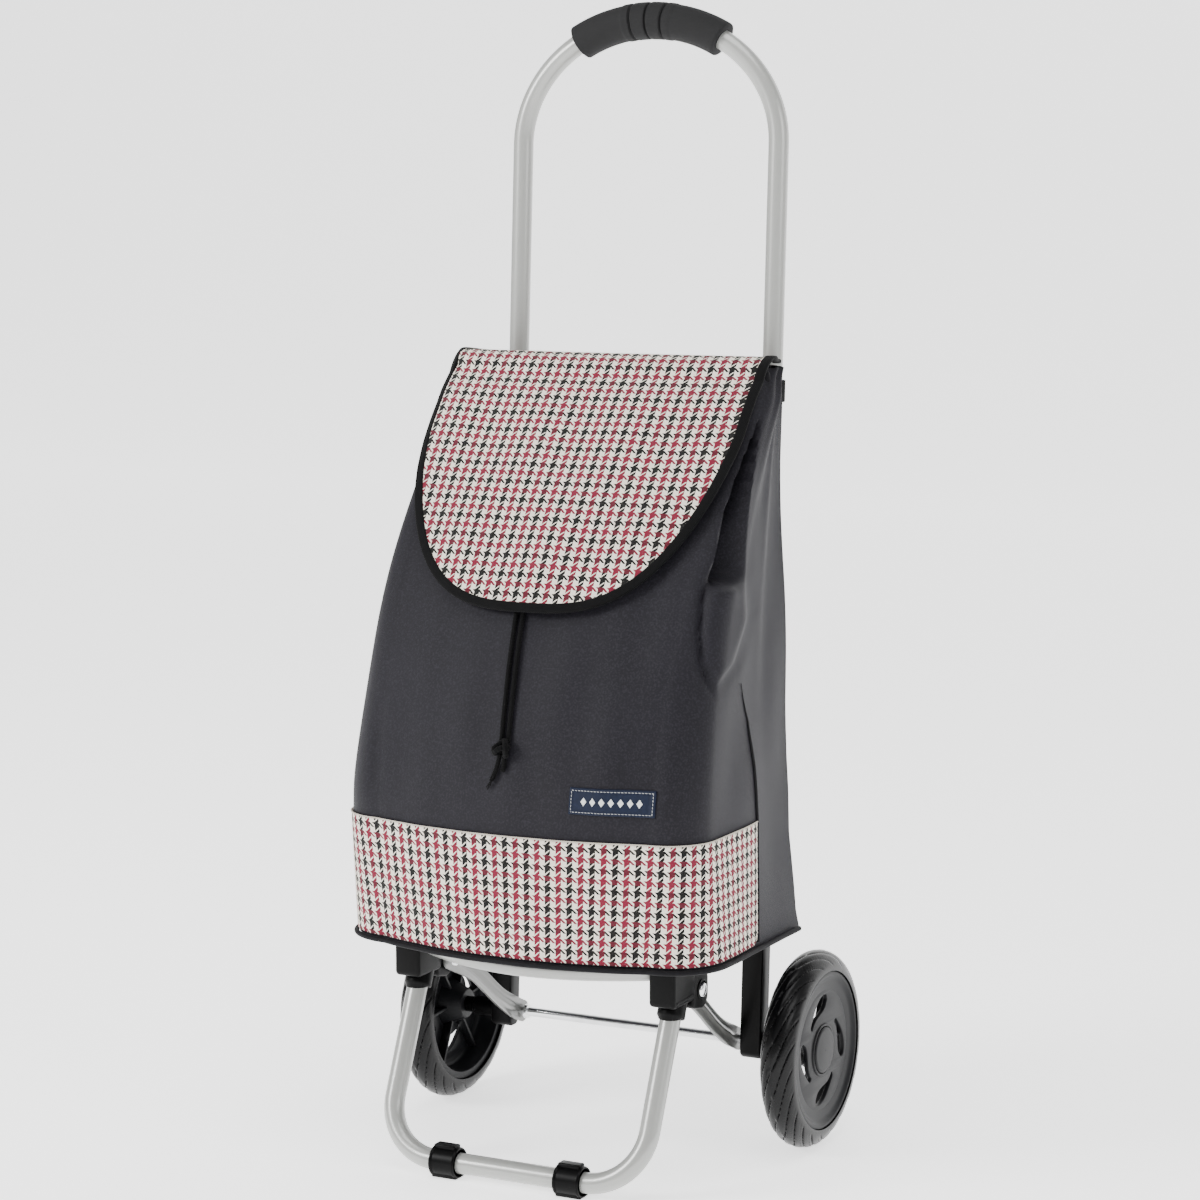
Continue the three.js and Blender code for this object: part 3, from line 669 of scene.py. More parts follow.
class Shape:
    """Islands of surface gathered into one mesh."""

    def __init__(self) -> None:
        """Starts empty."""
        self.points: list[Array] = []
        self.faces: list[list[int]] = []
        self.maps: list[Array] = []
        self.count = 0

    def add(
        self, points: Array, faces: list[list[int]], uv: Array | None = None, outward: bool = True
    ) -> "Shape":
        """Adds an island, turned so that it faces away from its own middle.

        Args:
            points: its points, in any grid shape.
            faces: its faces, by index into them.
            uv: a map for each point, in metres.
            outward: False leaves the faces as they are given.

        Returns:
            This shape.
        """
        flat = points.reshape(-1, 3)
        if outward:
            centred = flat - flat.mean(0)
            corners = np.array([[f[0], f[k], f[k + 1]] for f in faces for k in range(1, len(f) - 1)])
            a, b, c = (centred[corners[:, k]] for k in range(3))
            if np.einsum("ij,ij->", a, np.cross(b, c)) < 0:
                faces = [f[::-1] for f in faces]
        self.faces += [[k + self.count for k in f] for f in faces]
        self.points.append(flat)
        self.maps.append(np.zeros((len(flat), 2)) if uv is None else uv.reshape(-1, 2))
        self.count += len(flat)
        return self

    def loft(self, loops: Array, caps: bool = True, uv: Array | None = None) -> "Shape":
        """Adds a surface through closed loops, with a flat face on its first and last."""
        rows, cols = loops.shape[:2]
        faces = grid_faces(rows, cols, wrap_cols=True).tolist()
        if caps:
            faces.append(list(range(cols))[::-1])
            faces.append(list(range((rows - 1) * cols, rows * cols)))
        return self.add(loops, faces, uv)

    def ring(self, loops: Array) -> "Shape":
        """Adds a closed ring of loops, as a tyre."""
        return self.add(loops, grid_faces(*loops.shape[:2], wrap_rows=True, wrap_cols=True).tolist())

    def sheet(self, points: Array, uv: Array | None = None, facing: Sequence[float] = (0, -1, 0)) -> "Shape":
        """Adds an open sheet that faces a direction."""
        rows, cols = points.shape[:2]
        faces = grid_faces(rows, cols)
        flat = points.reshape(-1, 3)
        a, b, d = flat[faces[:, 0]], flat[faces[:, 1]], flat[faces[:, 3]]
        if np.cross(b - a, d - a).sum(0) @ np.asarray(facing, float) < 0:
            faces = faces[:, ::-1]
        return self.add(points, faces.tolist(), uv, outward=False)

    def build(self, name: str, material: bpy.types.Material, sharp: float = 38.0) -> bpy.types.Object:
        """Makes the object, in the frame's coordinates.

        Args:
            name: the piece's name.
            material: its finish.
            sharp: edges that turn more than this many degrees stay crisp.

        Returns:
            The new object.
        """
        mesh = bpy.data.meshes.new(name)
        mesh.from_pydata((np.concatenate(self.points) + ORIGIN).tolist(), [], self.faces)
        corner = np.zeros(len(mesh.loops), np.int32)
        mesh.loops.foreach_get("vertex_index", corner)
        layer = mesh.uv_layers.new(name="cloth")
        layer.data.foreach_set("uv", np.concatenate(self.maps)[corner].astype(np.float32).ravel())
        mesh.polygons.foreach_set("use_smooth", np.ones(len(mesh.polygons), bool))
        mesh.set_sharp_from_angle(angle=math.radians(sharp))
        mesh.materials.append(material)
        mesh.update()
        made = bpy.data.objects.new(name, mesh)
        bpy.context.scene.collection.objects.link(made)
        return made


def thicken(piece: bpy.types.Object, thickness: float, offset: float = -1.0) -> None:
    """Gives a sheet its thickness, inwards for an offset of -1."""
    wall = piece.modifiers.new("thickness", "SOLIDIFY")
    wall.thickness = thickness
    wall.offset = offset


def place(piece: bpy.types.Object, body: str, slot: str, *nodes: str) -> bpy.types.Object:
    """Lets a piece ride on a body and hides the CAD nodes that it stands for.

    Args:
        piece: the new piece.
        body: the body it moves with.
        slot: not used.
        nodes: the nodes that it replaces.

    Returns:
        The piece.
    """
    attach(piece, body)
    if nodes:
        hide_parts(*nodes)
    LOG.info("%s: %d points, on %s", piece.name, len(piece.data.vertices), body)
    return piece


def flatten(piece: bpy.types.Object, anchor_y: float) -> None:
    """Gives a piece of the bag its own copy of its mesh."""
    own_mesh(piece)


# ---- sub-assemblies -----------------------------------------------------------------------
@dataclass(frozen=True)
class Handle:
    """The bent handle tube with its foam grip."""

    finishes: Finishes
    half_width: float = 0.119
    foot: float = 0.331
    shoulder: float = 0.831
    rise: float = 0.102
    tube_radius: float = 0.0085
    grip_half: float = 0.066
    grip_radius: float = 0.015

    def arch(self, angle: Array) -> Array:
        """Points of the arch: half an ellipse over the shoulders, in the leaning plane."""
        z = self.shoulder + self.rise * np.sin(angle)
        return np.stack([-self.half_width * np.cos(angle), lean_y(z), z], -1)

    def build_tube(self) -> None:
        """Straight legs and the arch, swept with a round section."""
        z = np.linspace(self.foot, self.shoulder, 24)[:-1]
        left = np.stack([np.full_like(z, -self.half_width), lean_y(z), z], -1)
        right = left[::-1] * [-1, 1, 1]
        path = np.concatenate([left, self.arch(np.linspace(0, np.pi, 97)), right])
        tube = Shape().loft(swept(path, self.tube_radius, LEAN_AXIS, 36))
        place(tube.build("handle_bent_tube", self.finishes.paint), "frame", "grey_paint", "handle_tube")

    def build_grip(self) -> None:
        """A foam sleeve: square ends, three narrow grooves and a slightly raised middle."""
        end = math.acos(self.grip_half / self.half_width)
        line = along(self.arch(np.linspace(end, np.pi - end, 200)), 170)
        length = path_length(line)
        s = np.linspace(0, length, 170)
        middle = s - length / 2
        radius = self.grip_radius + 0.0006 * smoothstep(0.024, 0.021, np.abs(middle))
        for groove in (-0.0145, 0.0, 0.0145):
            radius -= 0.0021 * np.exp(-(((middle - groove) / 0.0010) ** 4))
        ends = np.minimum(s, length - s)
        round_off = np.sqrt(np.clip(1 - (1 - np.clip(ends / 0.0016, 0, 1)) ** 2, 0, 1))
        radius = radius - 0.0016 * (1 - round_off)
        bore = self.tube_radius + 0.0002
        inner = line[::-10]
        path = np.concatenate([line[:1], line, line[-1:], inner])
        sizes = np.concatenate([[bore], radius, [bore], np.full(len(inner), bore)])
        side, up = path_frame(along(line, len(line)), LEAN_AXIS)
        pick = np.concatenate([[0], np.arange(170), [169], np.arange(170)[::-10]])
        angle = np.linspace(0, 2 * np.pi, 48, endpoint=False)[None, :, None]
        across = np.cos(angle) * side[pick][:, None] + np.sin(angle) * up[pick][:, None]
        grip = Shape().ring(path[:, None] + sizes[:, None, None] * across)
        place(grip.build("handle_foam_grip", self.finishes.foam, 50), "frame", "foam", "handle_grip")

    def build(self) -> None:
        """Builds and dresses the handle."""
        self.build_tube()
        self.build_grip()


@dataclass(frozen=True)
class Chassis:
    """Uprights, collars, crossbar and axle."""

    finishes: Finishes
    tube_x: float = 0.119
    upright_width: float = 0.019
    upright_depth: float = 0.017
    upright_top: float = 0.330
    upright_foot: float = 0.0695
    collar_height: float = 0.046
    crossbar_z: float = 0.222
    axle_half: float = 0.181
    axle_radius: float = 0.004
    spacer_end: float = 0.1577

    def build_upright(self, side: Side) -> None:
        """A leaning box section with rounded edges and clipped lower corners."""
        half = self.upright_depth / 2
        top, foot = lean_y(self.upright_top), lean_y(self.upright_foot)
        corners = [
            (foot - half + 0.004, self.upright_foot), (foot + half - 0.004, self.upright_foot),
            (foot + half, self.upright_foot + 0.004), (top + half, self.upright_top),
            (top - half, self.upright_top), (foot - half, self.upright_foot + 0.004),
        ]
        middle = side.value * self.tube_x
        reach = self.upright_width / 2
        post = Shape().loft(prism_loops(rounded(corners, 0.002), middle - reach, middle + reach, 0.0016))
        name = f"upright_post_{side.suffix}"
        place(post.build(name, self.finishes.plastic), "frame", "black_plastic", f"upright_{side.suffix}")

    def build_collar(self, side: Side) -> None:
        """A sleeve over the joint of upright and tube, with a raised rib at each end and a screw."""
        middle = side.value * self.tube_x
        shape = Shape()
        spans = ((-0.5, 0.5, 0.0), (-0.5, -0.36, 0.0008), (0.36, 0.5, 0.0008))
        for low, high, proud in spans:
            z0 = self.upright_top + low * self.collar_height
            z1 = self.upright_top + high * self.collar_height
            half = 0.0104 + proud
            corners = [
                (lean_y(z0) - half, z0), (lean_y(z0) + half, z0),
                (lean_y(z1) + half, z1), (lean_y(z1) - half, z1)
            ]
            outline = rounded(corners, 0.0018)
            shape.loft(prism_loops(outline, middle - 0.0117 - proud, middle + 0.0117 + proud, 0.002))
        name = f"tube_sleeve_{side.suffix}"
        collar = shape.build(name, self.finishes.plastic)
        place(collar, "frame", "black_plastic", f"tube_collar_{side.suffix}")

    def build_crossbar(self) -> None:
        """A rounded bar between the uprights, with a bolt through each end."""
        y, z = lean_y(self.crossbar_z), self.crossbar_z
        reach = self.tube_x - self.upright_width / 2 - 0.0003
        corners = [(y - 0.006, z - 0.01), (y + 0.006, z - 0.01), (y + 0.006, z + 0.01), (y - 0.006, z + 0.01)]
        bar = Shape().loft(prism_loops(rounded(corners, 0.0045), -reach, reach, 0.0004))
        bar = bar.build("rear_cross_rail", self.finishes.plastic)
        place(bar, "frame", "black_plastic", "rear_crossbar")
        for side in Side:
            face = side.value * (self.tube_x + self.upright_width / 2 + 0.0002)
            head = [(0.0055, 0.0), (0.0055, 0.0008), (0.0048, 0.002), (0.0032, 0.0028), (0.0006, 0.003)]
            loops = self._turned_up([(0.0006, 0.0), *head], face, side, y, z)
            bolt = Shape().ring(loops).build(f"crossbar_rivet_{side.suffix}", self.finishes.chrome, 50)
            place(bolt, "frame", "bright_metal", f"crossbar_bolt_{side.suffix}")

    def _turned_up(
        self, profile: Sequence[Sequence[float]], face: float, side: Side, y: float, z: float
    ) -> Array:
        """A (radius, outward) profile turned about a line along X through (y, z)."""
        points = [(r, face + side.value * out) for r, out in profile]
        return turned_loops(points, 32) + [0, y, z - AXLE_Z]

    def build_axle(self) -> None:
        """The plated rod, with chamfered ends and a crimped stop beside each link."""
        end, r = self.axle_half, self.axle_radius
        stop = 0.0985
        profile = [(0.0004, -end), (r - 0.001, -end), (r, -end + 0.001)]
        for centre in (-stop, stop):
            profile += [(r, centre - 0.0022), (0.0062, centre - 0.0016), (0.0062, centre + 0.0016)]
            profile += [(r, centre + 0.0022)]
        profile += [(r, end - 0.001), (r - 0.001, end), (0.0004, end)]
        rod = Shape().ring(turned_loops(profile, 40)).build("axle_rod", self.finishes.chrome, 45)
        place(rod, "frame", "bright_metal", "axle")
        for side in Side:
            start = self.tube_x + self.upright_width / 2 + 0.0003
            stops = [(0.0043, start), (0.0072, start), (0.008, start + 0.0008), (0.008, start + 0.02)]
            stops += [(0.0068, start + 0.0215), (0.0068, self.spacer_end), (0.0043, self.spacer_end)]
            loops = turned_loops([(r, side.value * x) for r, x in stops], 40)
            spacer = Shape().ring(loops).build(f"spacer_sleeve_{side.suffix}", self.finishes.plastic)
            place(spacer, "frame", "black_plastic", f"axle_spacer_{side.suffix}")

    def build(self) -> None:
        """Builds and dresses the chassis."""
        for side in Side:
            self.build_upright(side)
            self.build_collar(side)
        self.build_crossbar()
        self.build_axle()


@dataclass(frozen=True)
class Wheel:
    """A grooved tyre on a dished hub with four comma-shaped slots."""

    finishes: Finishes
    side: Side
    middle: float = 0.170
    radius: float = 0.0825
    hub_radius: float = 0.066
    half_width: float = 0.015
    grooves: int = 22
    web_out: float = 0.0088
    cap_radius: float = 0.0193
    cap_out: float = 0.0101

    def _name(self, stem: str) -> str:
        """A piece's or node's name on this side."""
        return f"{stem}_{self.side.suffix}"

    def _out(self, profile: Sequence[Sequence[float]]) -> list[tuple[float, float]]:
        """A (radius, outward) profile placed at this wheel, as (radius, x)."""
        return [(r, self.side.value * (self.middle + out)) for r, out in profile]

    def _body(self) -> str:
        """The body that this wheel turns with."""
        return self._name("wheel")

    def build_tyre(self) -> None:
        """A half-elliptic tread pressed in along curved blades.

        Each blade is a groove whose angle runs on as it nears the shoulder: the depth falls
        sharply at the groove and fades along the blade, with a finer groove just behind it.
        """
        turn = np.linspace(0, np.pi, 49)
        x = self.half_width * np.cos(turn)
        rise = (self.radius - self.hub_radius - 0.0003) * np.sin(turn) ** 0.92
        angle = np.linspace(0, 2 * np.pi, 440, endpoint=False)[:, None]
        reach = np.abs(x)[None] / self.half_width
        lag = -0.62 * np.sign(x)[None] * reach**1.25
        phase = ((angle - lag) * self.grooves / (2 * np.pi)) % 1.0
        gap = np.minimum(phase, 1 - phase)
        cut = 0.0013 * np.exp(-((gap / 0.05) ** 2)) + 0.0013 * np.exp(-(1 - phase) / 0.20)
        second = np.abs(phase - 0.66)
        cut = cut + 0.0006 * np.exp(-((second / 0.03) ** 2)) * smoothstep(0.15, 0.4, reach)
        cut = cut * smoothstep(0.99, 0.90, reach) * smoothstep(0.0, 0.12, reach)
        r = self.hub_radius + 0.0003 + rise[None] - cut
        flat = np.linspace(x[-1], x[0], 6)[1:-1]
        x_all = np.concatenate([x, flat])
        r_all = np.concatenate([r, np.full((len(angle), len(flat)), self.hub_radius + 0.0003)], 1)
        spun = [
            np.broadcast_to(self.side.value * self.middle + x_all, r_all.shape),
            r_all * np.cos(angle),
            r_all * np.sin(angle) + AXLE_Z,
        ]
        tyre = Shape().ring(np.stack(spun, -1)).build(self._name("tread_tyre"), self.finishes.rubber, 50)
        place(tyre, self._body(), "tyre_rubber", self._name("tyre"))

    def _slot(self, start: float) -> Array:
        """One slot's outline: a line spiralling inwards, wide at its head and thin at its tail."""
        t = np.linspace(0, 1, 26)
        angle = start + 1.08 * t
        centre = 0.0425 - 0.0105 * t**0.8
        width = 0.0072 * np.sqrt(np.clip(1 - ((t - 0.2) / 0.2) ** 2, 0, 1)) * (t < 0.2)
        width = width + (t >= 0.2) * (0.0072 - 0.0042 * smoothstep(0.25, 0.85, t)) * np.sqrt(
            np.clip(1 - (np.clip(t - 0.93, 0, 1) / 0.07) ** 2, 0, 1)
        )
        both = np.concatenate([centre + width, (centre - width)[::-1][1:-1]])
        turn = np.concatenate([angle, angle[::-1][1:-1]])
        return np.stack([both * np.cos(turn), both * np.sin(turn)], -1)

    def _web(self) -> tuple[Array, list[list[int]]]:
        """The slotted disc as points and faces: a filled flat curve with its slots left open."""
        curve = bpy.data.curves.new("web", "CURVE")
        curve.dimensions = "2D"
        curve.fill_mode = "BOTH"
        curve.extrude = 0.0012
        curve.bevel_depth = 0.0007
        curve.bevel_resolution = 2
        turn = np.linspace(0, 2 * np.pi, 96, endpoint=False)
        rim = 0.052 * np.stack([np.cos(turn), np.sin(turn)], -1)
        outlines = [rim, rim * 0.0205 / 0.052]
        outlines += [self._slot(math.radians(a)) for a in (78.0, 160.0, 250.0, 338.0)]
        for outline in outlines:
            spline = curve.splines.new("POLY")
            spline.points.add(len(outline) - 1)
            flat = np.concatenate([outline, np.zeros((len(outline), 1)), np.ones((len(outline), 1))], 1)
            spline.points.foreach_set("co", flat.astype(np.float32).ravel())
            spline.use_cyclic_u = True
        holder = bpy.data.objects.new("web", curve)
        mesh = bpy.data.meshes.new_from_object(holder)
        bpy.data.objects.remove(holder)
        tidy = bmesh.new()
        tidy.from_mesh(mesh)
        bmesh.ops.remove_doubles(tidy, verts=tidy.verts, dist=1e-6)
        bmesh.ops.recalc_face_normals(tidy, faces=tidy.faces)
        points = np.array([v.co for v in tidy.verts], float)
        faces = [[v.index for v in f.verts] for f in tidy.faces]
        tidy.free()
        bpy.data.meshes.remove(mesh)
        across = self.side.value * (self.middle + self.web_out) + points[:, 2]
        laid = np.stack([across, points[:, 0], points[:, 1]], -1)
        laid[:, 2] += AXLE_Z
        return laid, faces

    def build_hub(self) -> None:
        """The rim's dish, the slotted web, the boss and the ribs behind the web."""
        rim = rounded([
            (0.0660, -0.0125), (0.0660, 0.0138), (0.0632, 0.0142), (0.0590, 0.0114), (0.0500, 0.0107),
            (0.0500, 0.0071), (0.0580, 0.0063), (0.0600, -0.0125),
        ], [0.0005, 0.0008, 0.0016, 0.006, 0.0008, 0.0008, 0.004, 0.0008], 5)
        boss = rounded([
            (0.0043, -0.0120), (0.0125, -0.0120), (0.0205, 0.0063), (0.0224, 0.0108), (0.0216, 0.0118),
            (0.0199, 0.0118), (0.0199, 0.0098), (0.0105, 0.0098), (0.0105, 0.0040), (0.0043, 0.0040),
        ], 0.0005, 3)
        shape = Shape()
        shape.ring(turned_loops(self._out(rim), 120))
        shape.ring(turned_loops(self._out(boss), 80))
        points, faces = self._web()
        shape.add(points, faces)
        for turn in np.arange(6) * np.pi / 3 + 0.09:
            radial, around = np.array([np.cos(turn), np.sin(turn)]), np.array([-np.sin(turn), np.cos(turn)])
            corners = [radial * r + around * w for r in (0.0125, 0.0605) for w in (-0.0012, 0.0012)]
            order = np.array([corners[0], corners[2], corners[3], corners[1]])
            inner, outer = sorted(self.side.value * (self.middle + out) for out in (-0.0010, 0.0078))
            shape.loft(prism_loops(order, inner, outer, 0.0003) + [0, 0, AXLE_Z])
        hub = shape.build(self._name("dished_hub"), self.finishes.hub, 40)
        place(hub, self._body(), "hub_plastic", self._name("hub"))

    def build_cap(self) -> None:
        """A slightly domed cap that stands in the boss, and the nut behind it."""
        edge = self.cap_radius
        dome = [(0.0005, 0.0), (edge - 0.0004, 0.0), (edge, 0.0006), (edge, 0.0019)]
        arc = np.linspace(0, 1, 9)
        dome += [
            ((edge - 0.0006) * (1 - t) + 0.0004 * t, 0.0026 + 0.0007 * math.sin(t * np.pi / 2)) for t in arc
        ]
        loops = turned_loops(self._out([(r, out + self.cap_out) for r, out in dome]), 72)
        cap = Shape().ring(loops).build(self._name("boss_cap"), self.finishes.hub, 50)
        place(cap, self._body(), "hub_plastic", self._name("hub_cap"))
        nut = rounded([(0.0042, 0.0043), (0.0085, 0.0043), (0.0085, 0.0078), (0.0042, 0.0078)], 0.0006, 3)
        nut = Shape().ring(turned_loops(self._out(nut), 36)).build(self._name("push_nut"), self.finishes.chrome)
        place(nut, "frame", "bright_metal", self._name("axle_nut"))

    def build(self) -> None:
        """Builds and dresses the wheel."""
        self.build_tyre()
        self.build_hub()
        self.build_cap()


@dataclass(frozen=True)
class Links:
    """The two pressed links from the axle to the leg frame."""

    finishes: Finishes
    pivot_y: float = -0.125
    pivot_z: float = 0.156
    axle_end_x: float = 0.1036
    pivot_x: float = 0.1046
    half_height: float = 0.0094

    def build(self) -> None:
        """Channels with a middle ridge and curled edges, in a shallow S between round ends."""
        rise = self.pivot_z - AXLE_Z
        run = math.hypot(self.pivot_y, rise)
        forward = np.array([self.pivot_y, rise]) / run
        across = np.array([-forward[1], forward[0]])
        cap = self.half_height
        s = np.concatenate([
            cap * (np.cos(np.linspace(np.pi, np.pi / 2, 12)) ), np.linspace(0, run, 60)[1:-1],
            run + cap * np.cos(np.linspace(np.pi / 2, 0, 12)),
        ])
        over = np.maximum(np.maximum(-s, s - run), 0) / cap
        waist = 1 - 0.13 * smoothstep(0.012, 0.05, s) * smoothstep(run - 0.012, run - 0.05, s)
        half = cap * np.sqrt(np.clip(1 - over**2, 0.0004, 1)) * waist
        share = np.clip(s / run, 0, 1)
        bend = 0.0028 * np.sin(2 * np.pi * share)
        w = np.concatenate([np.linspace(-1, 1, 25), np.linspace(1, -1, 25)])
        outer = np.concatenate([np.ones(25, bool), np.zeros(25, bool)])
        long_way = smoothstep(0.008, 0.026, s) * smoothstep(run - 0.008, run - 0.026, s)
        ridge = 0.0016 * np.exp(-((w / 0.26) ** 2)) - 0.0013 * np.abs(w) ** 6
        lift = long_way[:, None] * ridge[None] + np.where(outer, 0.0011, -0.0011)[None]
        for side in Side:
            reach = (self.axle_end_x + (self.pivot_x - self.axle_end_x) * share)[:, None]
            x = side.value * reach - lift * -side.value
            mid = forward[None] * s[:, None] + across[None] * bend[:, None]
            place_w = (half[:, None] * w[None])[..., None] * across
            flat = mid[:, None] + place_w
            loops = np.stack([x + 0 * w, flat[..., 0], flat[..., 1] + AXLE_Z], -1)
            link = Shape().loft(loops).build(f"pressed_link_{side.suffix}", self.finishes.pressed, 60)
            place(link, "struts", "grey_paint", f"strut_{side.suffix}")


@dataclass(frozen=True)
class LegFrame:
    """The U-shaped front leg, the bow under the bag, their knuckles and the foot clips."""

    finishes: Finishes
    leg_x: float = 0.1163
    slope: float = 0.443
    foot_y: float = -0.2148
    foot_z: float = 0.0126
    top_z: float = 0.160
    bend: float = 0.047
    tube_radius: float = 0.0085
    bow_z: float = 0.176
    bow_end: float = -0.155
    bow_front: float = -0.196
    bow_radius: float = 0.0075
    rivet_y: float = -0.125
    rivet_z: float = 0.156
    clip_x: float = 0.0565

    def leg_y(self, z: float) -> float:
        """Y of the sloping leg at height z."""
        return self.foot_y + self.slope * (z - self.foot_z)

    def build_leg(self) -> None:
        """Two legs and a foot bar joined by quarter circles, in the sloping plane."""
        slant = math.hypot(1, self.slope)
        up = np.array([0, self.slope / slant, 1 / slant])
        top = (self.top_z - self.foot_z) * slant
        turn = np.linspace(0, np.pi / 2, 28)
        rise = np.concatenate([np.linspace(top, self.bend, 16)[:-1], self.bend * (1 - np.sin(turn))])
        x = -self.leg_x + np.concatenate([np.zeros(15), self.bend * (1 - np.cos(turn))])
        half = np.array([0, self.foot_y, self.foot_z]) + rise[:, None] * up + x[:, None] * [1, 0, 0]
        bar = np.linspace(half[-1], half[-1] * [-1, 1, 1], 14)[1:-1]
        path = np.concatenate([half, bar, (half * [-1, 1, 1])[::-1]])
        hint = np.cross(up, [1, 0, 0])
        leg = Shape().loft(swept(path, self.tube_radius, hint, 36))
        leg = leg.build("front_leg_tube", self.finishes.paint)
        place(leg, "front_leg", "grey_paint", "leg_tube")

    def build_bow(self) -> None:
        """A tube bent to a shallow parabola under the bag's front edge."""
        x = np.linspace(-0.112, 0.112, 60)
        y = self.bow_end + (self.bow_front - self.bow_end) * (1 - (x / 0.112) ** 2)
        path = np.stack([x, y, np.full_like(x, self.bow_z)], -1)
        bow = Shape().loft(swept(path, self.bow_radius, (0, 0, 1), 32))
        bow = bow.build("bow_bent_tube", self.finishes.paint)
        place(bow, "front_leg", "grey_paint", "bow_tube")

    def build_knuckle(self, side: Side) -> None:
        """A moulded block over the tube ends, a collar down the leg and an ear for the rivet."""
        inner, outer = sorted((side.value * 0.105, side.value * 0.128))
        block = rounded([(-0.176, 0.150), (-0.137, 0.150), (-0.137, 0.1865), (-0.176, 0.1865)], 0.005)
        shape = Shape().loft(prism_loops(block, inner, outer, 0.0026))
        z = np.array([0.1392, 0.1392, 0.1400, 0.1412, 0.1470, 0.1560])
        path = np.stack([np.full_like(z, side.value * self.leg_x), self.leg_y(z), z], -1)
        path[0], path[1] = path[2] - [0, 0.0004, 0.0009], path[2] - [0, 0.0004, 0.0008]
        shape.loft(swept(path, [0.0098, 0.0106, 0.0114, 0.0115, 0.0113, 0.0112], (1, 0, 0), 36))
        ear = [
            (-0.140, 0.180), (-0.122, 0.178), (-0.1115, 0.168),
            (-0.1115, 0.146), (-0.120, 0.139), (-0.140, 0.143),
        ]
        low, high = sorted((side.value * 0.1086, side.value * 0.1277))
        shape.loft(prism_loops(rounded(ear, 0.006), low, high, 0.0022))
        ring = [(0.0068, 0.1268), (0.0086, 0.1268), (0.0086, 0.1284), (0.0080, 0.1289), (0.0072, 0.1289)]
        loops = turned_loops([(r, side.value * x) for r, x in ring], 40)
        shape.ring(loops + [0, self.rivet_y, self.rivet_z - AXLE_Z])
        rib = rounded([(-0.172, 0.1535), (-0.142, 0.1535), (-0.142, 0.1555), (-0.172, 0.1555)], 0.0009, 3)
        edge = side.value * 0.1285
        shape.loft(prism_loops(rib, *sorted((edge, edge - side.value * 0.004)), 0.0004))
        name = f"moulded_knuckle_{side.suffix}"
        knuckle = shape.build(name, self.finishes.plastic, 42)
        place(knuckle, "front_leg", "black_plastic", f"knuckle_{side.suffix}")

    def build_rivet(self, side: Side) -> None:
        """A domed head outside the ear, the shank through it and a flat head inside the link."""
        dome = [(0.0030, 0.0979), (0.0052, 0.0979), (0.0055, 0.0985), (0.0055, 0.0998), (0.0030, 0.1003)]
        dome += [(0.0030, 0.1283), (0.0060, 0.1283), (0.0060, 0.1290), (0.0054, 0.1299), (0.0040, 0.1306)]
        dome += [(0.0022, 0.1310), (0.0004, 0.1311), (0.0004, 0.0979)]
        loops = turned_loops([(r, side.value * x) for r, x in dome], 36)
        loops = loops + [0, self.rivet_y, self.rivet_z - AXLE_Z]
        rivet = Shape().ring(loops).build(f"domed_rivet_{side.suffix}", self.finishes.chrome, 50)
        place(rivet, "front_leg", "bright_metal", f"strut_rivet_{side.suffix}")

    def build_clip(self, side: Side) -> None:
        """A sleeve snapped round the foot bar, with a tread under it and a raised ledge on top."""
        centre = side.value * self.clip_x
        sleeve = [(0.0088, -0.0113), (0.0112, -0.0113), (0.0120, -0.0105), (0.0120, 0.0105)]
        sleeve += [(0.0112, 0.0113), (0.0088, 0.0113)]
        loops = turned_loops([(r, centre + x) for r, x in sleeve], 48)
        shape = Shape().ring(loops + [0, self.foot_y, self.foot_z - AXLE_Z])
        y, z = self.foot_y, self.foot_z
        tread = rounded([
            (y - 0.0072, 0.0001), (y + 0.0072, 0.0001), (y + 0.0088, 0.0075), (y - 0.0088, 0.0075),
        ], 0.0015)
        shape.loft(prism_loops(tread, centre - 0.0111, centre + 0.0111, 0.0008))
        ledge = rounded([
            (y - 0.004, z + 0.0085), (y + 0.006, z + 0.0085), (y + 0.006, z + 0.0143), (y - 0.004, z + 0.0143),
        ], 0.0016)
        shape.loft(prism_loops(ledge, centre - 0.0108, centre + 0.0088, 0.0012))
        for end in (-1, 1):
            flange = [(0.0089, -0.0012), (0.0126, -0.0012), (0.0128, 0.0), (0.0122, 0.0012), (0.0089, 0.0012)]
            flange = turned_loops([(r, centre + end * 0.0101 + x) for r, x in flange], 48)
            flange = flange + [0, self.foot_y, self.foot_z - AXLE_Z]
            flange[..., 2] = np.maximum(flange[..., 2], 0.0001)
            shape.ring(flange)
        clip = shape.build(f"foot_sleeve_{side.suffix}", self.finishes.plastic, 42)
        place(clip, "front_leg", "black_plastic", f"foot_clip_{side.suffix}")

    def build(self) -> None:
        """Builds and dresses the leg frame."""
        self.build_leg()
        self.build_bow()
        for side in Side:
            self.build_knuckle(side)
            self.build_rivet(side)
            self.build_clip(side)


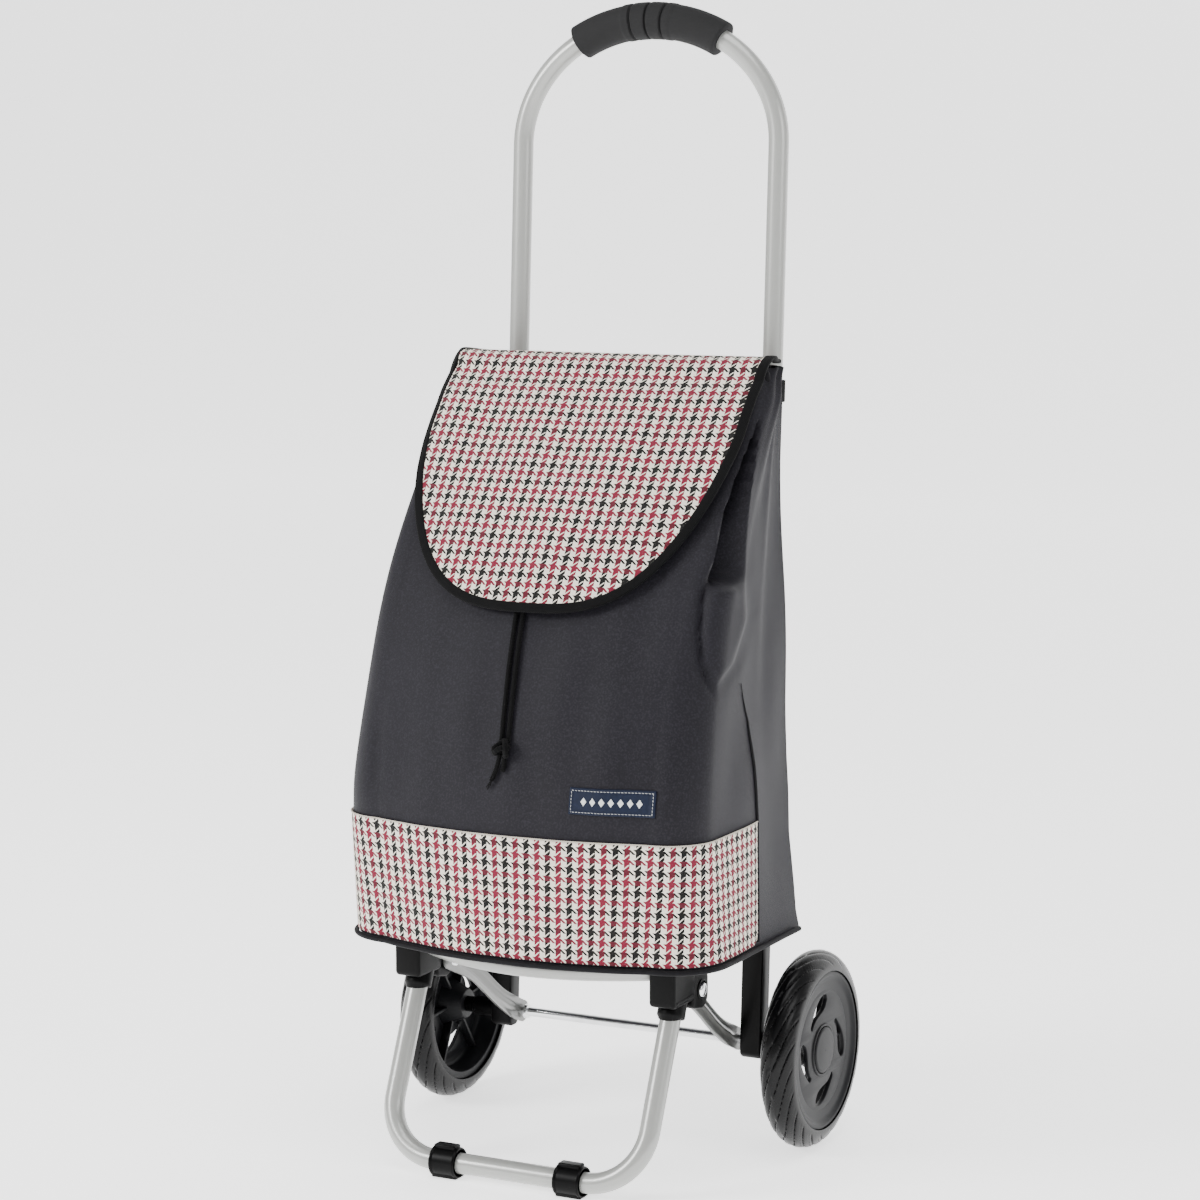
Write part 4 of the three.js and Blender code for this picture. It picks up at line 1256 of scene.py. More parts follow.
@dataclass(frozen=True)
class BagForm:
    """The bag's shape as functions of height: a bowed front, round corners and folded sides."""

    bottom: float = 0.188
    top: float = 0.650
    half_bottom: float = 0.163
    half_top: float = 0.149
    band_top: float = 0.290
    front_share: float = 0.46
    corner_share: float = 0.62

    def half(self, z: Array) -> Array:
        """Half the bag's width at its front corners."""
        gain = self.half_top - self.half_bottom
        return self.half_bottom + gain * (z - self.bottom) / (self.top - self.bottom)

    def rear_half(self, z: Array) -> Array:
        """Half the bag's width at its back corners, which the tube loops draw in towards the top."""
        heights = [0.183, 0.201, 0.222, 0.265, 0.339, 0.372, 0.466, 0.515, 0.571, 0.650]
        widths = [0.1635, 0.1590, 0.1565, 0.1510, 0.1485, 0.1460, 0.1410, 0.1380, 0.1345, 0.1315]
        return np.interp(z, heights, widths)

    def back(self, z: Array) -> Array:
        """Y of the bag's back."""
        return lean_y(z) - 0.0122

    def corner(self, z: Array) -> Array:
        """Radius of the front corners, tighter near the mouth."""
        return 0.018 + 0.026 * (self.top - z) / (self.top - self.bottom)

    def bow(self, z: Array) -> Array:
        """How far the front bulges at its middle."""
        return 0.008 + 0.014 * (self.top - z) / (self.top - self.bottom)

    def edge(self, z: Array) -> Array:
        """Y of the front at its corners: upright over the band, then sloping back to the mouth."""
        rise = np.clip(1 - (self.top - z) / (self.top - self.band_top), 0, 1)
        slope = -(0.035 + 0.178 * (1 - rise**1.75))
        low = -0.213 + 0.008 * (self.band_top - z) / (self.band_top - self.bottom)
        return np.where(z < self.band_top, low, slope)

    def front(self, x: Array, z: Array, out: float) -> Array:
        """Y of the front at (x, z), pushed out: a parabola between the corners, then a circle."""
        half, r = self.half(z) + out, self.corner(z) + out
        flat = half - r
        reach = np.minimum(np.abs(x), half)
        middle = self.edge(z) - out - self.bow(z) * (1 - (np.minimum(reach, flat) / flat) ** 2)
        beyond = np.maximum(reach - flat, 0)
        return middle + r - np.sqrt(np.maximum(r * r - beyond**2, 0))

    def folds(self, u: Array, y: Array, z: Array) -> Array:
        """How far the cloth sinks in, in metres, from its smooth form.

        On each side a deep hollow opens behind the front corner in the upper half, a crease
        curls under it and the cloth swells between the two; the front has slow shallow waves.
        """
        right = u > 0
        reach = np.abs(u) - np.where(right, 0.0, 0.13)
        size = np.where(right, 1.0, 0.7)
        lip = np.interp(
            z, [0.474, 0.507, 0.542, 0.575, 0.604, 0.614], [0.511, 0.524, 0.519, 0.533, 0.554, 0.558]
        )
        far = np.interp(z, [0.474, 0.490, 0.551, 0.597, 0.614], [0.668, 0.662, 0.596, 0.574, 0.562])
        off = (reach - lip) / (far - lip)
        mouth = smoothstep(-0.03, 0.20, off) * smoothstep(1.22, 0.66, off)
        hollow = 0.052 * mouth * smoothstep(0.616, 0.560, z) * smoothstep(0.482, 0.496, z)
        fold = np.interp(
            z, [0.400, 0.410, 0.429, 0.451, 0.478, 0.500], [0.605, 0.586, 0.547, 0.525, 0.513, 0.516]
        )
        crease = 0.0050 * np.exp(-(((reach - fold) / 0.011) ** 2))
        crease = crease * smoothstep(0.396, 0.420, z) * smoothstep(0.500, 0.486, z)
        rear = np.interp(z, [0.400, 0.408, 0.424, 0.455, 0.489], [0.600, 0.610, 0.681, 0.730, 0.690])
        within = smoothstep(0.0, 0.045, reach - fold) * smoothstep(0.02, -0.05, reach - rear)
        swell = -0.0045 * within * smoothstep(0.400, 0.425, z) * smoothstep(0.498, 0.478, z)
        swell = swell * np.where(right, 1, 0)
        behind = 0.0022 * np.exp(-(((reach - rear - 0.03) / 0.045) ** 2))
        behind = behind * smoothstep(0.395, 0.430, z) * smoothstep(0.600, 0.520, z)
        ridge = -0.0020 * np.exp(-(((reach - 0.84) / 0.035) ** 2)) * smoothstep(0.33, 0.45, z)
        gusset = 0.0050 * smoothstep(0.66, 0.78, reach) * smoothstep(0.98, 0.86, reach)
        gusset = gusset * smoothstep(0.30, 0.45, z)
        sides = size * (hollow + crease + swell + behind + gusset + ridge)
        tuck = 0.0030 * np.exp(-(((np.abs(u) - 0.47) / 0.018) ** 2)) * np.where(right, 0.2, 1.0)
        tuck = tuck * smoothstep(0.300, 0.325, z) * smoothstep(0.395, 0.345, z)
        waves = 0.0011 * np.sin(9.0 * u + 14.0 * z + 0.6) * np.sin(17.0 * z - 4.0 * u)
        waves = waves + 0.0007 * np.sin(23.0 * u - 31.0 * z + 1.7) + 0.0005 * np.sin(41.0 * u + 12.0 * z)
        sag = 0.0022 * np.exp(-(((z - 0.300) / 0.016) ** 2)) * (1 - np.abs(u)) * np.cos(5 * u)
        upper = smoothstep(0.292, 0.34, z)
        pull = 0.0012 * np.sin(60.0 * u) * smoothstep(0.59, 0.645, z)
        mouth_in = 0.0045 * smoothstep(0.622, 0.646, z)
        return sides + tuck + (waves + sag) * upper + pull + 0.35 * waves * (1 - upper) + mouth_in

    def wrap(self, u: Array, z: Array, out: float = 0.0) -> Array:
        """Points of the front and both sides, folds and all.

        Args:
            u: 0 at the middle of the front, and 1 or -1 at a back corner.
            z: height.
            out: how far outside the cloth, in metres.

        Returns:
            The points.
        """
        reach, sign = np.abs(u), np.sign(u)
        half, r = self.half(z) + out, self.corner(z) + out
        flat, edge = half - r, self.edge(z) - out
        across = np.clip(reach / self.front_share, 0, 1)
        turn = np.clip((reach - self.front_share) / (self.corner_share - self.front_share), 0, 1) * np.pi / 2
        side = np.clip((reach - self.corner_share) / (1 - self.corner_share), 0, 1)
        x = flat * across + r * np.sin(turn)
        y = edge - self.bow(z) * (1 - across**2) + r * (1 - np.cos(turn))
        y = y + side * (self.back(z) - (edge + r))
        x = x + (self.rear_half(z) + out - half) * smoothstep(0.25, 1.0, side)
        sink = self.folds(u, y, z)
        slant = np.where(across < 1, -2 * self.bow(z) * across / flat, 0.0)
        facing = np.arctan2(np.cos(turn), np.sin(turn) - slant * (across < 1))
        return np.stack([sign * (x - sink * np.cos(facing)), y + sink * np.sin(facing), z + 0 * u], -1)

    def seam_u(self, z: Array) -> Array:
        """The u of the side seam at height z, where the front cloth ends and the back cloth begins."""
        return np.interp(
            z, [0.190, 0.210, 0.291, 0.337, 0.373, 0.405], [0.783, 0.788, 0.812, 0.797, 0.772, 0.722]
        )


@dataclass(frozen=True)
class Bag:
    """The cloth bag: shell, check band, piping, seams, hem, label and tube loops."""

    finishes: Finishes
    form: BagForm
    wall: float = 0.0022
    tube_x: float = 0.119

    def _dress(self, piece: bpy.types.Object, slot: str, *nodes: str) -> None:
        """Places a piece of the bag and gives it its own copy of its mesh."""
        place(piece, "frame", slot, *nodes)
        flatten(piece, float(self.form.back(self.form.bottom)))

    def build_shell(self) -> None:
        """Front, sides and back as one loop at each height, closed below by shrinking loops."""
        form = self.form
        u = np.concatenate([
            np.linspace(-1, -form.front_share, 62)[:-1], np.linspace(-form.front_share, form.front_share, 80),
            np.linspace(form.front_share, 1, 62)[1:],
        ])
        z = np.linspace(form.bottom, form.top, 132)
        grid_z, grid_u = np.meshgrid(z, u, indexing="ij")
        wrapped = form.wrap(grid_u, grid_z)
        share = np.linspace(0, 1, 30)[1:-1]
        right, left = wrapped[:, -1][:, None], wrapped[:, 0][:, None]
        back = right + (left - right) * share[None, :, None]
        slack = 0.0016 * np.sin(np.pi * share)[None] * (0.5 + 0.5 * np.sin(26 * z[:, None] + 5 * share[None]))
        back[..., 1] -= slack
        loops = np.concatenate([wrapped, back], 1)
        base = loops[0]
        centre = np.array([0.0, -0.105, form.bottom])
        under = [centre + (base - centre) * s - [0, 0, 0.0004] for s in (0.06, 0.3, 0.55, 0.78, 0.93, 0.985)]
        loops = np.concatenate([np.array(under), loops])
        run = np.concatenate([[0.0], np.cumsum(np.linalg.norm(np.diff(wrapped[60], axis=0), axis=1))])
        run = np.concatenate([run, run[-1] + share * 0.29])
        uv = np.stack([np.broadcast_to(run, loops.shape[:2]), loops[..., 2]], -1)
        shape = Shape()
        rows, cols = loops.shape[:2]
        faces = grid_faces(rows, cols, wrap_cols=True).tolist()
        faces.append(list(range(cols)))
        shape.add(loops, self._facing(loops, faces), uv, outward=False)
        shell = shape.build("bag_cloth_shell", self.finishes.cloth, 55)
        thicken(shell, self.wall)
        nodes = ("bag_front", "bag_side_left", "bag_side_right", "bag_back", "bag_bottom")
        self._dress(shell, "charcoal_cloth", *nodes)

    def _facing(self, loops: Array, faces: list[list[int]]) -> list[list[int]]:
        """The shell's faces turned outwards, judged at the middle of the front."""
        cols = loops.shape[1]
        flat = loops.reshape(-1, 3)
        face = faces[(loops.shape[0] // 2) * cols + 100]
        a, b, c = flat[face[0]], flat[face[1]], flat[face[2]]
        outward = np.cross(b - a, c - a)[1] < 0
        cap = faces[-1]
        body = faces[:-1] if outward else [f[::-1] for f in faces[:-1]]
        return [*body, cap[::-1] if outward else cap]

    def _band_grid(self, out: float, rows: int = 44, cols: int = 300) -> tuple[Array, Array]:
        """Points and map of the band: round the front from seam to seam, with its lower ends rounded."""
        form = self.form
        w = np.linspace(-1, 1, cols)
        low_rise = 0.009 * (1 - np.sqrt(np.clip(1 - ((np.abs(w) - 0.965) / 0.035).clip(0, 1) ** 2, 0, 1)))
        low = form.bottom + 0.0032 + low_rise
        t = np.linspace(0, 1, rows)[:, None]
        z = low[None] + (form.band_top - 0.0005 - low[None]) * t
        u = w[None] * form.seam_u(z)
        points = form.wrap(u, z, out)
        run = np.concatenate([[0.0], np.cumsum(np.linalg.norm(np.diff(points[rows // 2], axis=0), axis=1))])
        uv = np.stack([np.broadcast_to(run - run[-1] / 2, z.shape), form.band_top - z], -1)
        return points, uv

    def build_band(self) -> None:
        """The check band over the bag's foot, and the pale thread along its top."""
        points, uv = self._band_grid(0.0016)
        band = Shape().sheet(points, uv).build("houndstooth_band", self.finishes.check, 60)
        thicken(band, 0.0011)
        self._dress(band, "check_cloth", "check_band")
        top = along(self._band_grid(0.0018)[0][-1] + [0, 0, 0.0002], 320)
        thread = Shape().loft(swept(top, 0.0006, (0, 0, 1), 8)).build("band_edge_thread", self.finishes.stitch)
        self._dress(thread, "check_cloth")

    def build_piping(self) -> None:
        """The corded edge round the foot of the bag, and the welts up both side seams."""
        form = self.form
        z = form.bottom - 0.0006
        u = np.linspace(-0.985, 0.985, 300)
        path = form.wrap(u, np.full_like(u, form.bottom), 0.0027)
        path[:, 2] = z
        piping = Shape().loft(swept(along(path, 300), 0.0021, (0, 0, 1), 14))
        piping = piping.build("foot_piping", self.finishes.seam)
        self._dress(piping, "black_tape", "bottom_piping")
        heights = np.linspace(0.1925, 0.405, 90)
        welts = Shape()
        for side in Side:
            line = form.wrap(side.value * (form.seam_u(heights) + 0.006), heights, 0.0005)
            size = 0.0013 * smoothstep(0.405, 0.34, heights) + 0.0003
            welts.loft(swept(line, size, (0, 1, 0), 10))
        self._dress(welts.build("side_seam_welts", self.finishes.seam), "charcoal_cloth")

    def build_hem(self) -> None:
        """The drawstring channel inside the mouth: a soft gathered ring."""
        form = self.form
        u = np.linspace(-1, 1, 260)
        ring = form.wrap(u, np.full_like(u, form.top - 0.014), 0.0)
        share = np.linspace(0, 1, 70)[1:-1]
        ring = np.concatenate([ring, ring[-1] + (ring[0] - ring[-1]) * share[:, None]])
        centre = np.array([0.0, ring[:, 1].mean(), 0.0])
        inward = centre - ring
        inward[:, 2] = 0
        inward /= np.linalg.norm(inward, axis=1, keepdims=True)
        gather = 0.0010 * np.sin(np.arange(len(ring)) * 2 * np.pi / 11)
        middle = ring + inward * (0.0062 + gather)[:, None]
        angle = np.linspace(0, 2 * np.pi, 16, endpoint=False)
        thick, tall = superellipse(angle, 2.6)
        loops = middle[:, None] + inward[:, None] * (0.0021 * thick)[None, :, None]
        loops[..., 2] += 0.0115 * tall[None] * (1 + 0.5 * gather[:, None] / 0.001 * 0.06)
        hem = Shape().ring(loops).build("mouth_drawn_hem", self.finishes.seam, 60)
        self._dress(hem, "black_tape", "mouth_hem")

    def build_label(self) -> None:
        """A soft label with a raised rim and lozenges, laid on the front's curve."""
        half_x, half_z = 0.034, 0.0105
        x = np.linspace(-half_x, half_x, 150)
        z = np.linspace(-half_z, half_z, 50)
        grid_z, grid_x = np.meshgrid(z, x, indexing="ij")
        inside = np.minimum(half_x - np.abs(grid_x), half_z - np.abs(grid_z))
        height = 0.0012 * np.sqrt(1 - (1 - np.clip(inside / 0.0007, 0, 1)) ** 2)
        height = height + 0.0005 * (smoothstep(0.0034, 0.0030, inside) * smoothstep(0.0008, 0.0012, inside))
        height = height - 0.0003 * (np.abs(inside - 0.0021) < 0.0004)
        step = 0.0072
        local = (grid_x + step / 2) % step - step / 2
        mark = (np.abs(local) / 0.0024 + np.abs(grid_z) / 0.0034 < 1) & (np.abs(grid_x) < 3.5 * step)
        height = height + 0.00035 * mark
        centre_x, centre_z = 0.094, 0.3215
        at_x, at_z = centre_x + grid_x, centre_z + grid_z
        y = self._front_cloth(at_x, at_z) - 0.0004 - height
        points = np.stack([at_x, y, at_z], -1)
        uv = np.stack([grid_x, grid_z], -1)
        label = Shape().sheet(points, uv).build("front_label", self.finishes.patch, 45)
        thicken(label, 0.0009)
        self._dress(label, "patch_rubber", "label_patch")

    def _front_cloth(self, x: Array, z: Array) -> Array:
        """Y of the front with its waves at (x, z)."""
        flat = self.form.half(z) - self.form.corner(z)
        return self.form.wrap(x / flat * self.form.front_share, z)[..., 1]

    def build_loops(self) -> None:
        """Webbing loops that hold the bag to the tubes, each with a stitched tab on the bag's back."""
        angle = np.linspace(0, 2 * np.pi, 56, endpoint=False)
        for level, z0 in (("upper", 0.628), ("middle", 0.420)):
            for side in Side:
                rows = np.array([-0.0090, -0.0086, 0.0086, 0.0090])
                outer = np.array([0.0104, 0.0110, 0.0110, 0.0104])
                z = z0 + np.concatenate([rows, rows[::-1]])
                size = np.concatenate([outer, [0.0092] * 4])
                x = side.value * self.tube_x + size[None] * np.cos(angle)[:, None]
                y = lean_y(z)[None] + size[None] * np.sin(angle)[:, None]
                shape = Shape().ring(np.stack([x, y, np.broadcast_to(z, x.shape)], -1))
                tab_y = float(self.form.back(z0)) + 0.0008
                tab = rounded([(tab_y - 0.0006, z0 - 0.009), (tab_y + 0.0006, z0 - 0.009),
                               (tab_y + 0.0006, z0 + 0.009), (tab_y - 0.0006, z0 + 0.009)], 0.0004, 3)
                middle = side.value * (self.tube_x - 0.008)
                shape.loft(prism_loops(tab, middle - 0.016, middle + 0.014, 0.0004))
                name = f"{level}_webbing_loop_{side.suffix}"
                loop = shape.build(name, self.finishes.tape, 45)
                place(loop, "frame", "black_tape", f"{level}_loop_{side.suffix}")

    def build(self) -> None:
        """Builds and dresses the bag."""
        self.build_shell()
        self.build_band()
        self.build_piping()
        self.build_hem()
        self.build_label()
        self.build_loops()


@dataclass(frozen=True)
class Flap:
    """The houndstooth flap with its taped edge, hinged at the back of the mouth."""

    finishes: Finishes
    form: BagForm
    half: float = 0.1462
    hinge_half: float = 0.136
    round_half: float = 0.1457
    shift: float = -0.0028
    turn_z: float = 0.600
    drop: float = 0.1392
    across_power: float = 3.1
    down_power: float = 1.55
    lift: float = 0.008
    hinge_y: float = 0.012
    tape: float = 0.008

    def _side_x(self, z: Array, trim: float) -> Array:
        """Half the flap's width at height z, above where its lower edge begins to turn."""
        top = self.half - (self.half - self.round_half) * smoothstep(0.650, self.turn_z, z)
        return top - trim

    def _end(self, share: Array, trim: float) -> Array:
        """Height of the lower edge at a share of the half-width: a superellipse."""
        return self.turn_z - (self.drop - trim) * (
            np.clip(1 - np.abs(share) ** self.across_power, 0, 1) ** (1 / self.down_power)
        )

    def surface(self, share: Array, fall: Array, trim: float) -> Array:
        """Points of the flap.

        Args:
            share: -1 to 1 across it.
            fall: rows, -1 at the hinge, 0 at the brow and 1 at the lower edge.
            trim: how far its edge is cut back.

        Returns:
            The points: a low arch over the mouth, then a curtain that follows the bag's front.
        """
        start = 0.6500
        z_front = start - np.clip(fall, 0, 1) * (start - self._end(share, trim))
        z_top = 0.6535 + 0.0048 * np.sin(np.clip(1 + fall, 0, 1) * np.pi * 0.62) ** 1.0
        ease = np.clip((self.lift - 0.004) * smoothstep(0.650, 0.625, z_front), 0, 1)
        z = np.where(fall < 0, z_top, z_front)
        reach = self._side_x(np.where(fall < 0, start, z_front), trim)
        reach = reach + (self.hinge_half - self.half) * smoothstep(-0.25, -1.0, fall)
        x = share * reach + self.shift
        brow = self.form.front(x, np.full_like(z, start), 0.004)
        y_top = self.hinge_y + (brow - self.hinge_y) * np.clip(1 + fall, 0, 1)
        y_front = self.form.front(x, z_front, 0.004) - ease
        waves = 0.0012 * np.sin(11 * share + 1.2) * np.sin(34 * z_front) * smoothstep(0.05, 0.3, fall)
        waves = waves * smoothstep(1.0, 0.8, fall) * smoothstep(1.0, 0.85, np.abs(share))
        return np.stack([x, np.where(fall < 0, y_top, y_front + waves), z], -1)

    def _soften(self, grid: Array, brow: int, spread: int) -> Array:
        """Rounds the fold at the brow: rows near it follow a parabola between the rows either side."""
        low, high = brow - spread, brow + spread
        t = np.linspace(0, 1, 2 * spread + 1)[:, None, None]
        start, corner, end = grid[low], grid[brow], grid[high]
        lifted = corner + [0, -0.0016, 0.0055]
        grid = grid.copy()
        grid[low:high + 1] = (1 - t) ** 2 * start + 2 * t * (1 - t) * lifted + t**2 * end
        return grid

    def rows(self) -> tuple[Array, int]:
        """Row positions, with the number of the brow's row."""
        top = np.linspace(-1, 0, 26)
        return np.concatenate([top, np.linspace(0, 1, 96)[1:]]), 25

    def build_panel(self) -> None:
        """The check cloth, its threads running straight down and across."""
        fall, brow = self.rows()
        share = np.sin(np.linspace(-np.pi / 2, np.pi / 2, 121))
        trim = self.tape * 0.72
        grid_fall, grid_share = np.meshgrid(fall, share, indexing="ij")
        points = self._soften(self.surface(grid_share, grid_fall, trim), brow, 5)
        down = np.linalg.norm(np.diff(points, axis=0), axis=2)
        down = np.concatenate([np.zeros((1, points.shape[1])), np.cumsum(down, 0)])
        down = down - down[brow]
        uv = np.stack([points[..., 0], down], -1)
        cloth = Shape().sheet(points, uv, (0, -1, 0.3)).build("flap_check_cloth", self.finishes.check, 60)
        thicken(cloth, 0.0016, 0.0)
        width = 2 * (self.half - trim)
        length = float(down[-1, 60] - down[0, 60])
        a, b, d = points[:-1, :-1], points[:-1, 1:], points[1:, :-1]
        area = float(np.linalg.norm(np.cross(b - a, d - a), axis=2).sum())
        self._dress(cloth, "check_cloth", "flap_panel")
        min(area, width * length)

    def _edge(self, trim: float) -> Array:
        """The flap's outline from the hinge down, round the bottom and up again, trimmed."""
        down = np.concatenate([np.linspace(-1, 0, 26), np.linspace(0, 1, 30)[1:]])
        left = self._soften(self.surface(np.full_like(down, -1.0), down, trim)[:, None], 25, 6)[:, 0]
        right = self._soften(self.surface(np.full_like(down, 1.0), down, trim)[:, None], 25, 6)[:, 0]
        turn = np.linspace(0, np.pi, 150)[1:-1]
        share = np.sign(np.cos(turn)) * np.abs(np.cos(turn)) ** (2 / self.across_power)
        bottom_z = self.turn_z - (self.drop - trim) * np.sin(turn) ** (2 / self.down_power)
        x = -share * (self.round_half - trim) + self.shift
        y = self.form.front(x, bottom_z, 0.004) - (self.lift - 0.004)
        bottom = np.stack([x, y, bottom_z], -1)
        return np.concatenate([left, bottom, right[::-1]])

    def build_tape(self) -> None:
        """The tape folded over the edge: a flat rounded section between two trimmed outlines."""
        outer, inner = self._edge(0.0), self._edge(self.tape)
        middle = (outer + inner) / 2
        step = np.linalg.norm(np.diff(middle, axis=0), axis=1)
        length = np.concatenate([[0.0], np.cumsum(step)])
        at = np.linspace(0, length[-1], 420)
        middle = np.stack([np.interp(at, length, middle[:, k]) for k in range(3)], -1)
        out = np.stack([np.interp(at, length, (outer - inner)[:, k] / 2) for k in range(3)], -1)
        kernel = np.ones(9) / 9
        pad = np.pad(out, ((4, 4), (0, 0)), mode="edge")
        out = np.stack([np.convolve(pad[:, k], kernel, "valid") for k in range(3)], -1)
        tangent = np.gradient(middle, axis=0)
        tangent /= np.linalg.norm(tangent, axis=1, keepdims=True)
        out -= tangent * np.einsum("ij,ij->i", out, tangent)[:, None]
        out = out / np.linalg.norm(out, axis=1, keepdims=True) * self.tape / 2
        normal = np.cross(tangent, out)
        normal = normal / np.linalg.norm(normal, axis=1, keepdims=True)
        wide, thick = superellipse(np.linspace(0, 2 * np.pi, 24, endpoint=False), 3.4)
        pucker = 1 + 0.05 * np.sin(at / 0.0042)[:, None]
        loops = middle[:, None] + out[:, None] * wide[None, :, None]
        loops = loops + normal[:, None] * (0.0019 * pucker * thick[None])[..., None]
        tape = Shape().loft(loops).build("flap_edge_tape", self.finishes.tape, 60)
        self._dress(tape, "black_tape", "flap_binding")

    def _dress(self, piece: bpy.types.Object, slot: str, *nodes: str) -> None:
        """Places a piece of the flap and gives it its own copy of its mesh."""
        place(piece, "flap", slot, *nodes)
        flatten(piece, float(self.form.back(self.form.bottom)))

    def build(self) -> None:
        """Builds and dresses the flap."""
        self.build_panel()
        self.build_tape()


@dataclass(frozen=True)
class Drawstring:
    """Two braided cords that come out under the flap and are knotted together."""

    finishes: Finishes
    form: BagForm
    radius: float = 0.002
    start_z: float = 0.638
    knot_x: float = 0.001
    knot_z: float = 0.358

    def strand(self, offset: float, count: int = 15) -> Array:
        """A cord's route down the front: it leans in towards the knot."""
        t = np.linspace(0, 1, count)
        z = self.start_z + (self.knot_z + 0.0040 - self.start_z) * t
        x = self.knot_x + offset - (1 - t) ** 1.2 * 0.027
        return np.stack([x, self.form.front(x, z, self.radius + 0.0005), z], -1)

    def braid(self, path: Array, radius: float) -> Array:
        """Rings of a braided cord: the radius swells in two opposed spirals of strands."""
        fine = along(catmull(path, 12), max(24, int(path_length(path) / 0.0007)))
        side, up = path_frame(fine, (0, 1, 0))
        angle = np.linspace(0, 2 * np.pi, 20, endpoint=False)[None]
        run = np.linspace(0, path_length(fine), len(fine))[:, None]
        weave = np.cos(3 * angle + run * 1300) * np.cos(3 * angle - run * 1300)
        size = radius * (0.93 + 0.14 * weave)[..., None]
        around = np.cos(angle)[..., None] * side[:, None] + np.sin(angle)[..., None] * up[:, None]
        return fine[:, None] + size * around

    def build_knot(self) -> bpy.types.Object:
        """An overhand knot, its two tails and the frayed wisps at one tail's end."""
        x0, z0 = self.knot_x, self.knot_z
        y0 = float(self.form.front(np.array(x0), np.array(z0), 0.0068))
        t = np.linspace(0, 2 * np.pi, 90)
        shape = Shape()
        loop = np.stack([
            x0 + 0.0052 * np.sin(t), y0 + 0.0034 * np.cos(2 * t) * 0.9,
            z0 + 0.0052 * np.cos(t) + 0.0016 * np.sin(2 * t)
        ], -1)
        shape.loft(self.braid(loop[:-2], 0.0024), caps=True)
        second = np.stack([
            x0 + 0.0050 * np.sin(t + 1.1), y0 - 0.0006 + 0.0030 * np.sin(t), z0 + 0.0028 * np.cos(t) - 0.0008
        ], -1)
        shape.loft(self.braid(second[:-2], 0.0023), caps=True)
        for sign, reach in ((-1, 0.0205), (1, 0.0130)):
            s = np.linspace(0, 1, 9)
            z = z0 - 0.005 - reach * s
            x = x0 + sign * (0.0018 + 0.0026 * s) - 0.0035 * s**2
            y = self.form.front(x, z, self.radius + 0.0008) - 0.0022 * (1 - s) ** 2
            shape.loft(self.braid(np.stack([x, y, z], -1), self.radius))
            if sign < 0:
                self._fray(shape, np.array([x[-1], y[-1], z[-1]]))
        return shape.build("drawstring_knot", self.finishes.braid, 70)

    def _fray(self, shape: Shape, end: Array) -> None:
        """Adds a few fine loose threads below a tail."""
        for turn, reach in ((-0.9, 0.0062), (-0.5, 0.0078), (-0.1, 0.0066), (0.3, 0.0054), (-1.3, 0.0046)):
            s = np.linspace(0, 1, 8)[:, None]
            line = end + s * [0.35 * reach * math.sin(turn * 2) - 0.002, 0, -reach]
            line = line + np.sin(s * 4 + turn * 5) * [0.0009, -0.0004, 0]
            shape.loft(swept(line, 0.00035, (0, 1, 0), 6))

    def build(self) -> None:
        knot = self.build_knot()
        place(knot, "frame", "black_tape", "cord_knot", "cord_tail_left", "cord_tail_right")
        flatten(knot, float(self.form.back(self.form.bottom)))
        for side in Side:
            path = self.strand(side.value * 0.0031)
            rings = self.braid(path, self.radius)
            cord = Shape().loft(rings).build(f"drawstring_{side.suffix}", self.finishes.braid, 70)
            place(cord, "frame", "black_tape", f"cord_strand_{side.suffix}")
            flatten(cord, float(self.form.back(self.form.bottom)))
            placed = path + ORIGIN
            path_length(catmull(path, 12))
            catmull(placed, 12).tolist()


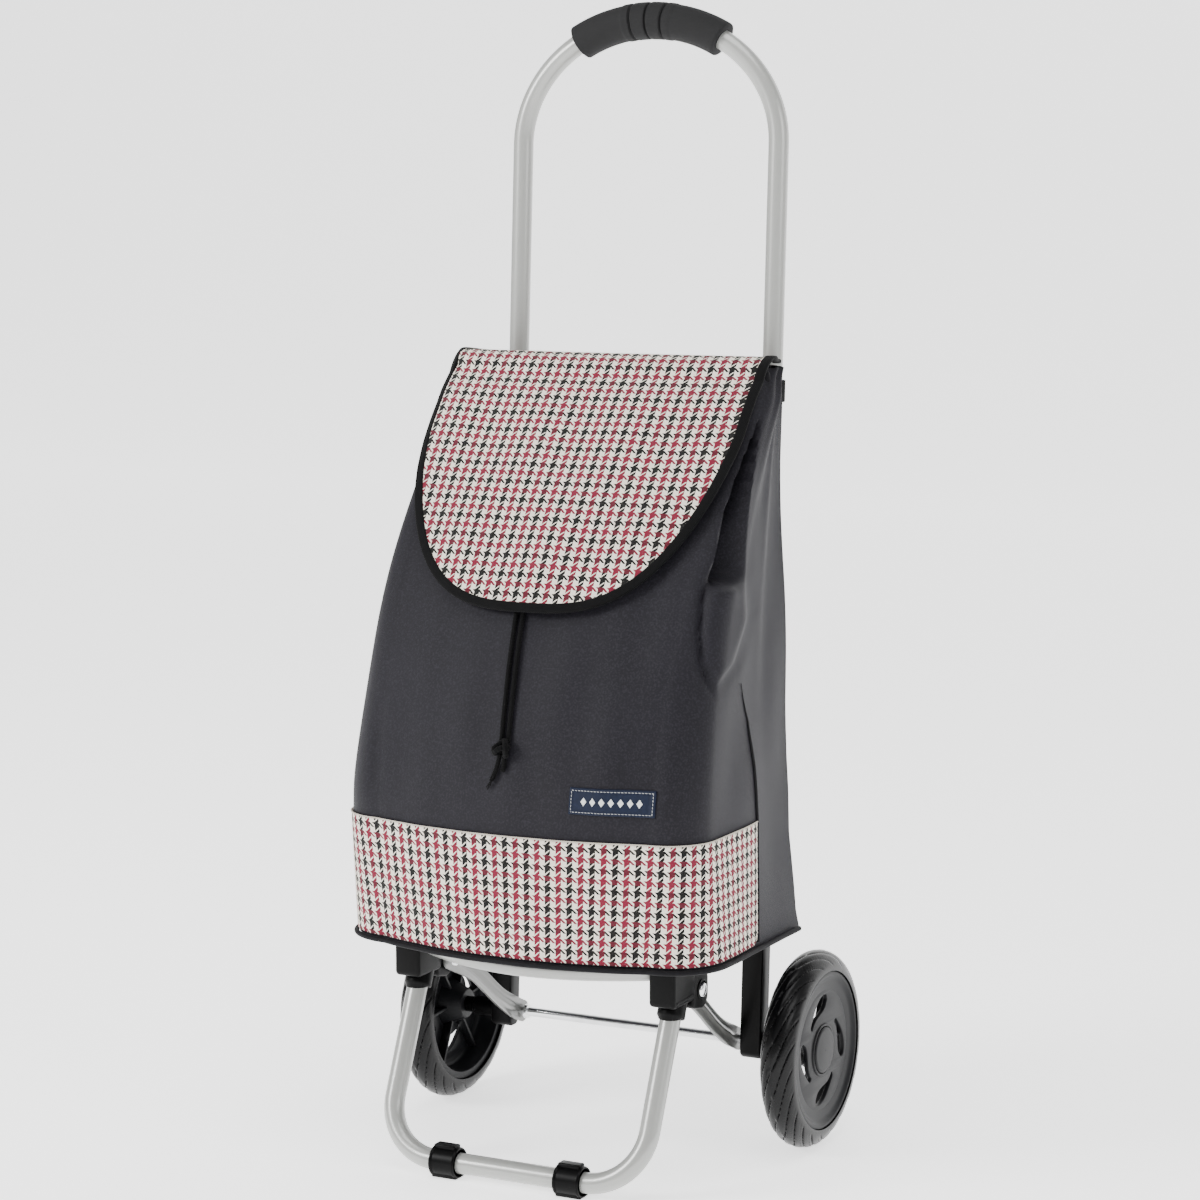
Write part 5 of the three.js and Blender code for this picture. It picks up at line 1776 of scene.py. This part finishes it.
@dataclass(frozen=True)
class Studio:
    """Camera, pale floor and soft lights."""

    camera_at: tuple[float, float, float] = (1.2087, -2.3545, 0.8006)
    target: tuple[float, float, float] = (-0.0275, 0.0757, 0.448)
    lens: float = 97.33

    def build_camera(self) -> None:
        """A long lens aimed at the middle of the trolley."""
        data = bpy.data.cameras.new("camera")
        data.lens, data.sensor_width = self.lens, 36.0
        data.clip_start, data.clip_end = 0.1, 60.0
        camera = bpy.data.objects.new("camera", data)
        bpy.context.scene.collection.objects.link(camera)
        camera.location = self.camera_at
        aim = Vector(self.target) - Vector(self.camera_at)
        camera.rotation_euler = aim.to_track_quat("-Z", "Y").to_euler()
        bpy.context.scene.camera = camera

    def build_floor(self) -> None:
        """A wide white floor that curves up behind the trolley."""
        graph = Graph("white_floor")
        graph.set(Base_Color=(0.95, 0.95, 0.95), Roughness=0.8, Specular_IOR_Level=0.1)
        graph.set(Emission_Color=(1.0, 1.0, 1.0), Emission_Strength=1.5)
        run = np.concatenate([np.linspace(-9, 5, 8), 5 + 3 * np.sin(np.linspace(0, np.pi / 2, 20))[1:], [8.0]])
        rise = np.concatenate([np.zeros(8), 3 * (1 - np.cos(np.linspace(0, np.pi / 2, 20)))[1:], [9.0]])
        points = np.stack([np.stack([np.full_like(run, x), run, rise], -1) for x in (-9.0, 0.0, 9.0)], 1)
        floor = Shape().sheet(points, None, (0, -1, 1)).build("studio_floor", graph.material, 80)

    def _panel(self, name: str, at: Sequence[float], size: float, power: float, aim: Sequence[float]) -> None:
        """A square soft light at a place, aimed at a point."""
        data = bpy.data.lights.new(name, "AREA")
        data.shape, data.size, data.energy = "SQUARE", size, power
        light = bpy.data.objects.new(name, data)
        light.location = at
        light.rotation_euler = (Vector(aim) - Vector(at)).to_track_quat("-Z", "Y").to_euler()
        bpy.context.scene.collection.objects.link(light)

    def build_lights(self) -> None:
        """Two broad side panels, one overhead and an even white surround."""
        self._panel("left_panel", (-2.2, -2.4, 2.0), 1.3, 120.0, (0, 0, 0.45))
        self._panel("right_panel", (2.9, -0.6, 1.6), 1.4, 26.0, (0, 0, 0.4))
        self._panel("top_panel", (0.2, -0.6, 3.4), 2.2, 60.0, (0, 0, 0.3))
        world = bpy.data.worlds.new("white_surround")
        world.use_nodes = True
        background = next(n for n in world.node_tree.nodes if n.type == "BACKGROUND")
        background.inputs[0].default_value = (1.0, 1.0, 1.0, 1.0)
        background.inputs[1].default_value = 0.5
        bpy.context.scene.world = world


def main() -> None:
    """Builds the studio, the drawstring and every sub-assembly in turn."""
    logging.basicConfig(level=logging.INFO, format="%(name)s %(message)s")
    studio = Studio()
    studio.build_camera()
    finishes = Finishes()
    form = BagForm()
    Drawstring(finishes, form).build()
    assemblies = [Handle(finishes), Chassis(finishes), Links(finishes), LegFrame(finishes)]
    assemblies += [Wheel(finishes, side) for side in Side]
    assemblies += [Bag(finishes, form), Flap(finishes, form)]
    for assembly in assemblies:
        LOG.info("building %s", type(assembly).__name__)
        assembly.build()
    studio.build_floor()
    studio.build_lights()
    bpy.context.view_layer.update()


if __name__ == "__main__":
    main()
